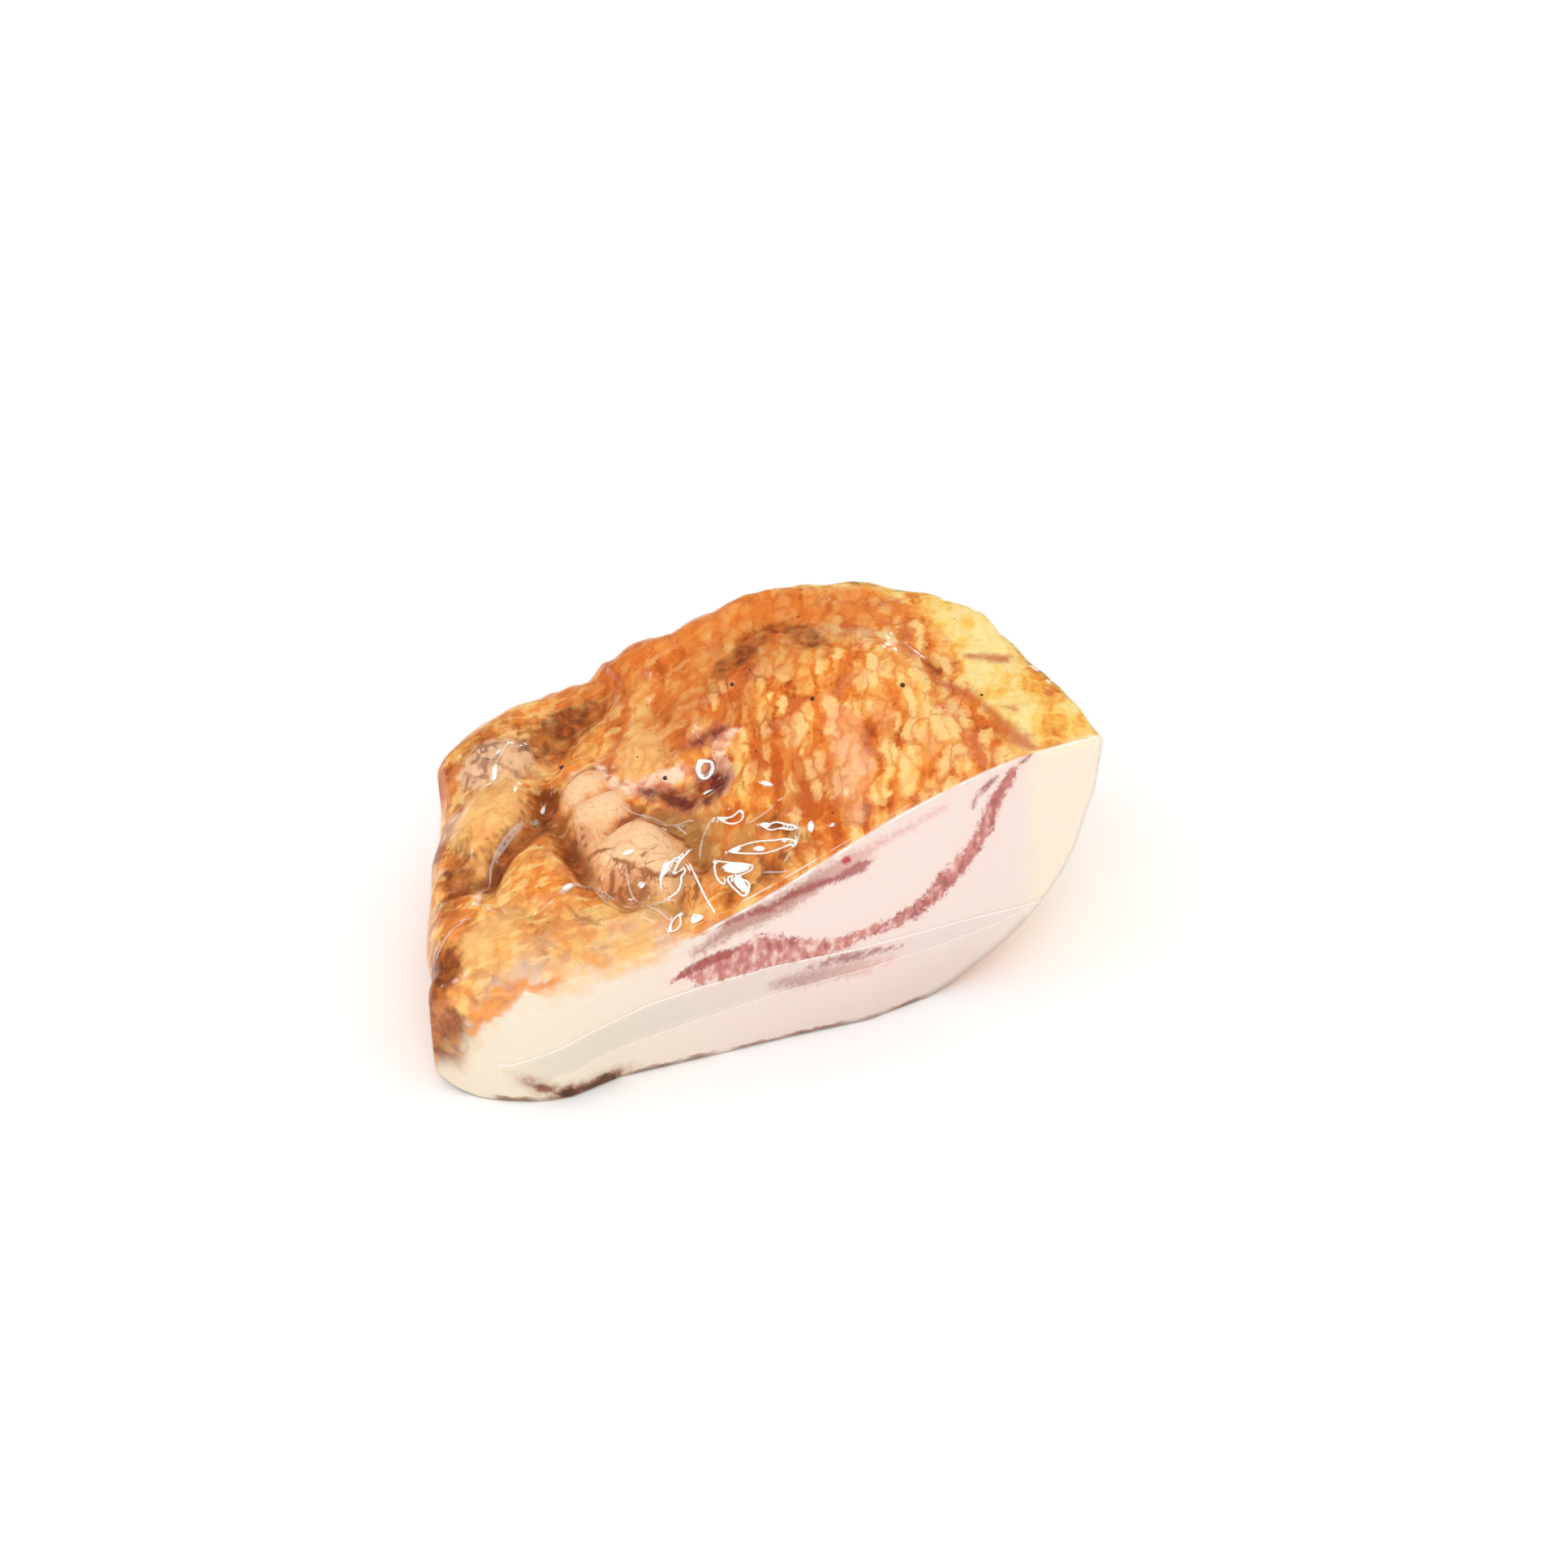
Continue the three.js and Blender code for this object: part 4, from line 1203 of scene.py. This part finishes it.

# %% [markdown]
# ## The look of the film
#
# Clear film is seen by three things: a gloss that grows towards grazing angles, a little milkiness
# where it stands off or lies double, and white light in its creases, painted here as highlights. So a
# transparent shader is mixed with a thin share of white, for the milkiness and the painted highlights,
# and a sharp gloss lies over both by the Fresnel rule. A glass shader would bend the light through the
# film and cost far more time for the same look.

# %% Material: clear film
def film_surface(paint):
    mid = paint.noise(paint.scaled(paint.metres, 1000), 1 / 6, 2)
    number = paint.number

    def line(name, at, half):
        """A thin line where a distance has a value."""
        return 1 - (number(name) - at).absolute().ramp(half * 0.4, half)

    def matt(colour):
        return paint.node("ShaderNodeBsdfDiffuse", None, {"Color": from_screen(*colour)})

    # Painted highlights: white creases and loops, and spots of glare.
    crease = line("crease_mm", 0, 0.33) * (1 - number("crease_near").ramp(0.7, 1.1)) * number("highlight_share")
    crease = crease * (mid + number("highlight_share") * 0.25).ramp(0.48, 0.62)
    glare = (number("glare_mm") + (mid - 0.5) * 0.8).ramp(-0.1, 0.35)
    # Two thin painted highlights: along the cut's upper edge and just behind it on the top.
    edge_highlight = line("edge_mm", -0.7, 0.5) * mid.ramp(0.35, 0.6) * 0.7
    edge_highlight = edge_highlight + line("edge_mm", 2.6, 0.4) * mid.ramp(0.44, 0.58) * 0.5
    # The fold's upper and lower edges: partly a whiter doubled edge, partly painted highlight.
    fold = line("fold_mm", 0, 0.34) * (0.3 + mid * 0.4) + line("fold_low_mm", 0, 0.4) * 0.3
    bright = fold + edge_highlight + crease * 0.9 + glare

    fade = 1 - number("along_mm").ramp(60, 125)
    milky = number("haze") * (0.5 + mid) + number("pleat_mm").ramp(-1.2, 2.4) * (0.10 + 0.12 * fade)
    clear = paint.node("ShaderNodeBsdfTransparent", None, {"Color": (0.985, 0.985, 0.98)})
    body = paint.mixed(milky.at_most(0.9), clear, matt((214, 213, 206)))
    body = paint.mixed(bright.at_most(0.95), body, matt((252, 250, 244)))
    rough = 0.17 - number("slack").ramp(0, 0.5) * 0.09
    gloss = {"Color": (1, 1, 1), "Roughness": rough}
    gloss = paint.node("ShaderNodeBsdfAnisotropic", {"distribution": "GGX"}, gloss)
    mirror = paint.node("ShaderNodeFresnel", None, {"IOR": 1.5})
    return paint.mixed(mirror.at_most(0.25) * (0.7 + number("slack") * 0.3), body, gloss)


film_paint = Paint("clear_film")
film_paint.finish(film_surface(film_paint))
film.data.materials.append(film_paint.material)

# %% [markdown]
# ## Pepper
#
# A few specks of the pepper rub stay on the crust: six that show in the photo, and 22 finer ones at
# random places. They all have the same shape, so Geometry Nodes set one small uneven grain on every
# point that they are given, turned at random from a fixed seed and scaled by the point's own number.

# %% Geometry Nodes: pepper
SPECKS = [(105, 63, 1), (118, 43, 1.1), (138, 34, 1.2), (61, 71, 1.3), (80, 49, 1.1), (155, 25, 0.7)]  # x, y, size
DUST = {"count": 22, "size": (0.25, 0.5)}
GRAIN_SIZE = 0.0011
FULL_TURN = 6.28


def pepper_tree(material):
    bench, (points, size, seed), values = new_tree("pepper", {
        "Grain size": ("Float", GRAIN_SIZE), "Seed": ("Int", 4)})
    grain = bench.node("GeometryNodeMeshIcoSphere", None, {"Radius": 0.5, "Subdivisions": 2})
    lumps = bench.noise_shift(bench.node("GeometryNodeInputPosition"), 2.2, 2, 0.5)
    lumps = bench.vector("MULTIPLY", lumps, (0.9, 0.9, 0.6))
    grain = bench.node("GeometryNodeSetPosition", None, {"Geometry": grain, "Offset": lumps})
    turn = bench.node("FunctionNodeRandomValue", {"data_type": "FLOAT_VECTOR"},
                      {"Min": (0, 0, 0), "Max": (FULL_TURN, FULL_TURN, FULL_TURN), "Seed": seed})
    shape = bench.node("GeometryNodeInstanceOnPoints", None, {
        "Points": points, "Instance": grain, "Rotation": turn, "Scale": size * named(bench, "wide")})
    finish_tree(bench, shape, material)
    return bench.tree, values


random = np.random.default_rng(11)
top_points = np.flatnonzero((ROOM > 0.5) & (X > 30))
chosen = [int(np.argmin(np.hypot(X - x, Y - y) + 1000 * (OUT[:, 2] < 0.5))) for x, y, _ in SPECKS]
chosen += random.choice(top_points, DUST["count"], replace=False).tolist()
wide = [w for _, _, w in SPECKS] + random.uniform(*DUST["size"], DUST["count"]).tolist()
mesh = bpy.data.meshes.new("pepper_specks")
mesh.from_pydata(((MEAT[chosen] - MIDDLE) / 1000).tolist(), [], [])
mesh.attributes.new("wide", "FLOAT", "POINT").data.foreach_set("value", wide)
pepper = add_object("pepper_specks", mesh)
pepper_paint = Paint("pepper")
baked(pepper, *pepper_tree(pepper_paint.material))
print("pepper:", len(chosen), "grains,", len(pepper.data.polygons), "faces")

# %% Material: pepper
speckle = pepper_paint.noise(pepper_paint.metres, 2500, 3)
pepper_paint.finish(pepper_paint.node("ShaderNodeBsdfPrincipled", None, {
    "Base Color": pepper_paint.blend(speckle, from_screen(38, 26, 22), from_screen(92, 70, 58)),
    "Roughness": 0.6 + speckle * 0.3,
}))

# %% [markdown]
# ## Floor and light
#
# A white floor and a white sky give the even brightness of the photo. The gloss of the film would
# turn grey in so white a room, so the sky is dark to mirror rays, and three small lamps give it the
# highlights: a hard one behind the thin end, a wide one in front and a weak one at the back.

# %% Floor
SHEET = [(-4, -4, 0), (4, -4, 0), (4, 4, 0), (-4, 4, 0)]

floor_mesh = bpy.data.meshes.new("floor")
floor_mesh.from_pydata(SHEET, [], [(0, 1, 2, 3)])
floor = add_object("floor", floor_mesh)
floor_paint = Paint("pale_floor")
cloud = floor_paint.noise(floor_paint.metres, 3, 2)
floor_paint.finish(floor_paint.node("ShaderNodeBsdfPrincipled", None, {
    "Base Color": floor_paint.blend(cloud, (0.96, 0.96, 0.96), (0.98, 0.98, 0.98)),
    "Roughness": 0.9,
}))
floor_mesh.materials.append(floor_paint.material)

# %% Sky and lamps
SKY, SKY_IN_GLOSS = 0.99, 0.14
LIT = (0, 0, 0.03)
# Each lamp: where it stands, its size and its power
LAMPS = {
    "small_lamp": ((-0.9, 0.5, 1.1), 0.16, 1.2),
    "front_lamp": ((-0.5, -1, 1), 0.9, 5),
    "back_lamp": ((0.9, 1.2, 0.3), 0.1, 0.8),
}

world = bpy.data.worlds.new("studio")
world.use_nodes = True
bench = Bench(world.node_tree)
sky = world.node_tree.nodes["Background"]
sky.inputs["Color"].default_value = (1, 1, 1, 1)
mirrored = bench.node("ShaderNodeLightPath", out="Is Glossy Ray")
bench.feed(sky.inputs["Strength"], SKY - mirrored * (SKY - SKY_IN_GLOSS))
bpy.context.scene.world = world
for name, (place, size, power) in LAMPS.items():
    data = bpy.data.lights.new(name, "AREA")
    data.shape = "DISK"
    data.size = size
    data.energy = power
    stand(add_object(name, data), place, LIT)
bpy.context.scene.view_settings.view_transform = "Standard"
print("lamps:", *LAMPS)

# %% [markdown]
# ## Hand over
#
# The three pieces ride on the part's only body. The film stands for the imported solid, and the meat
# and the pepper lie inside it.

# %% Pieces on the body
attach(meat, "root")
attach(film, "root")
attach(pepper, "root")
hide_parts("guanciale_in_film")
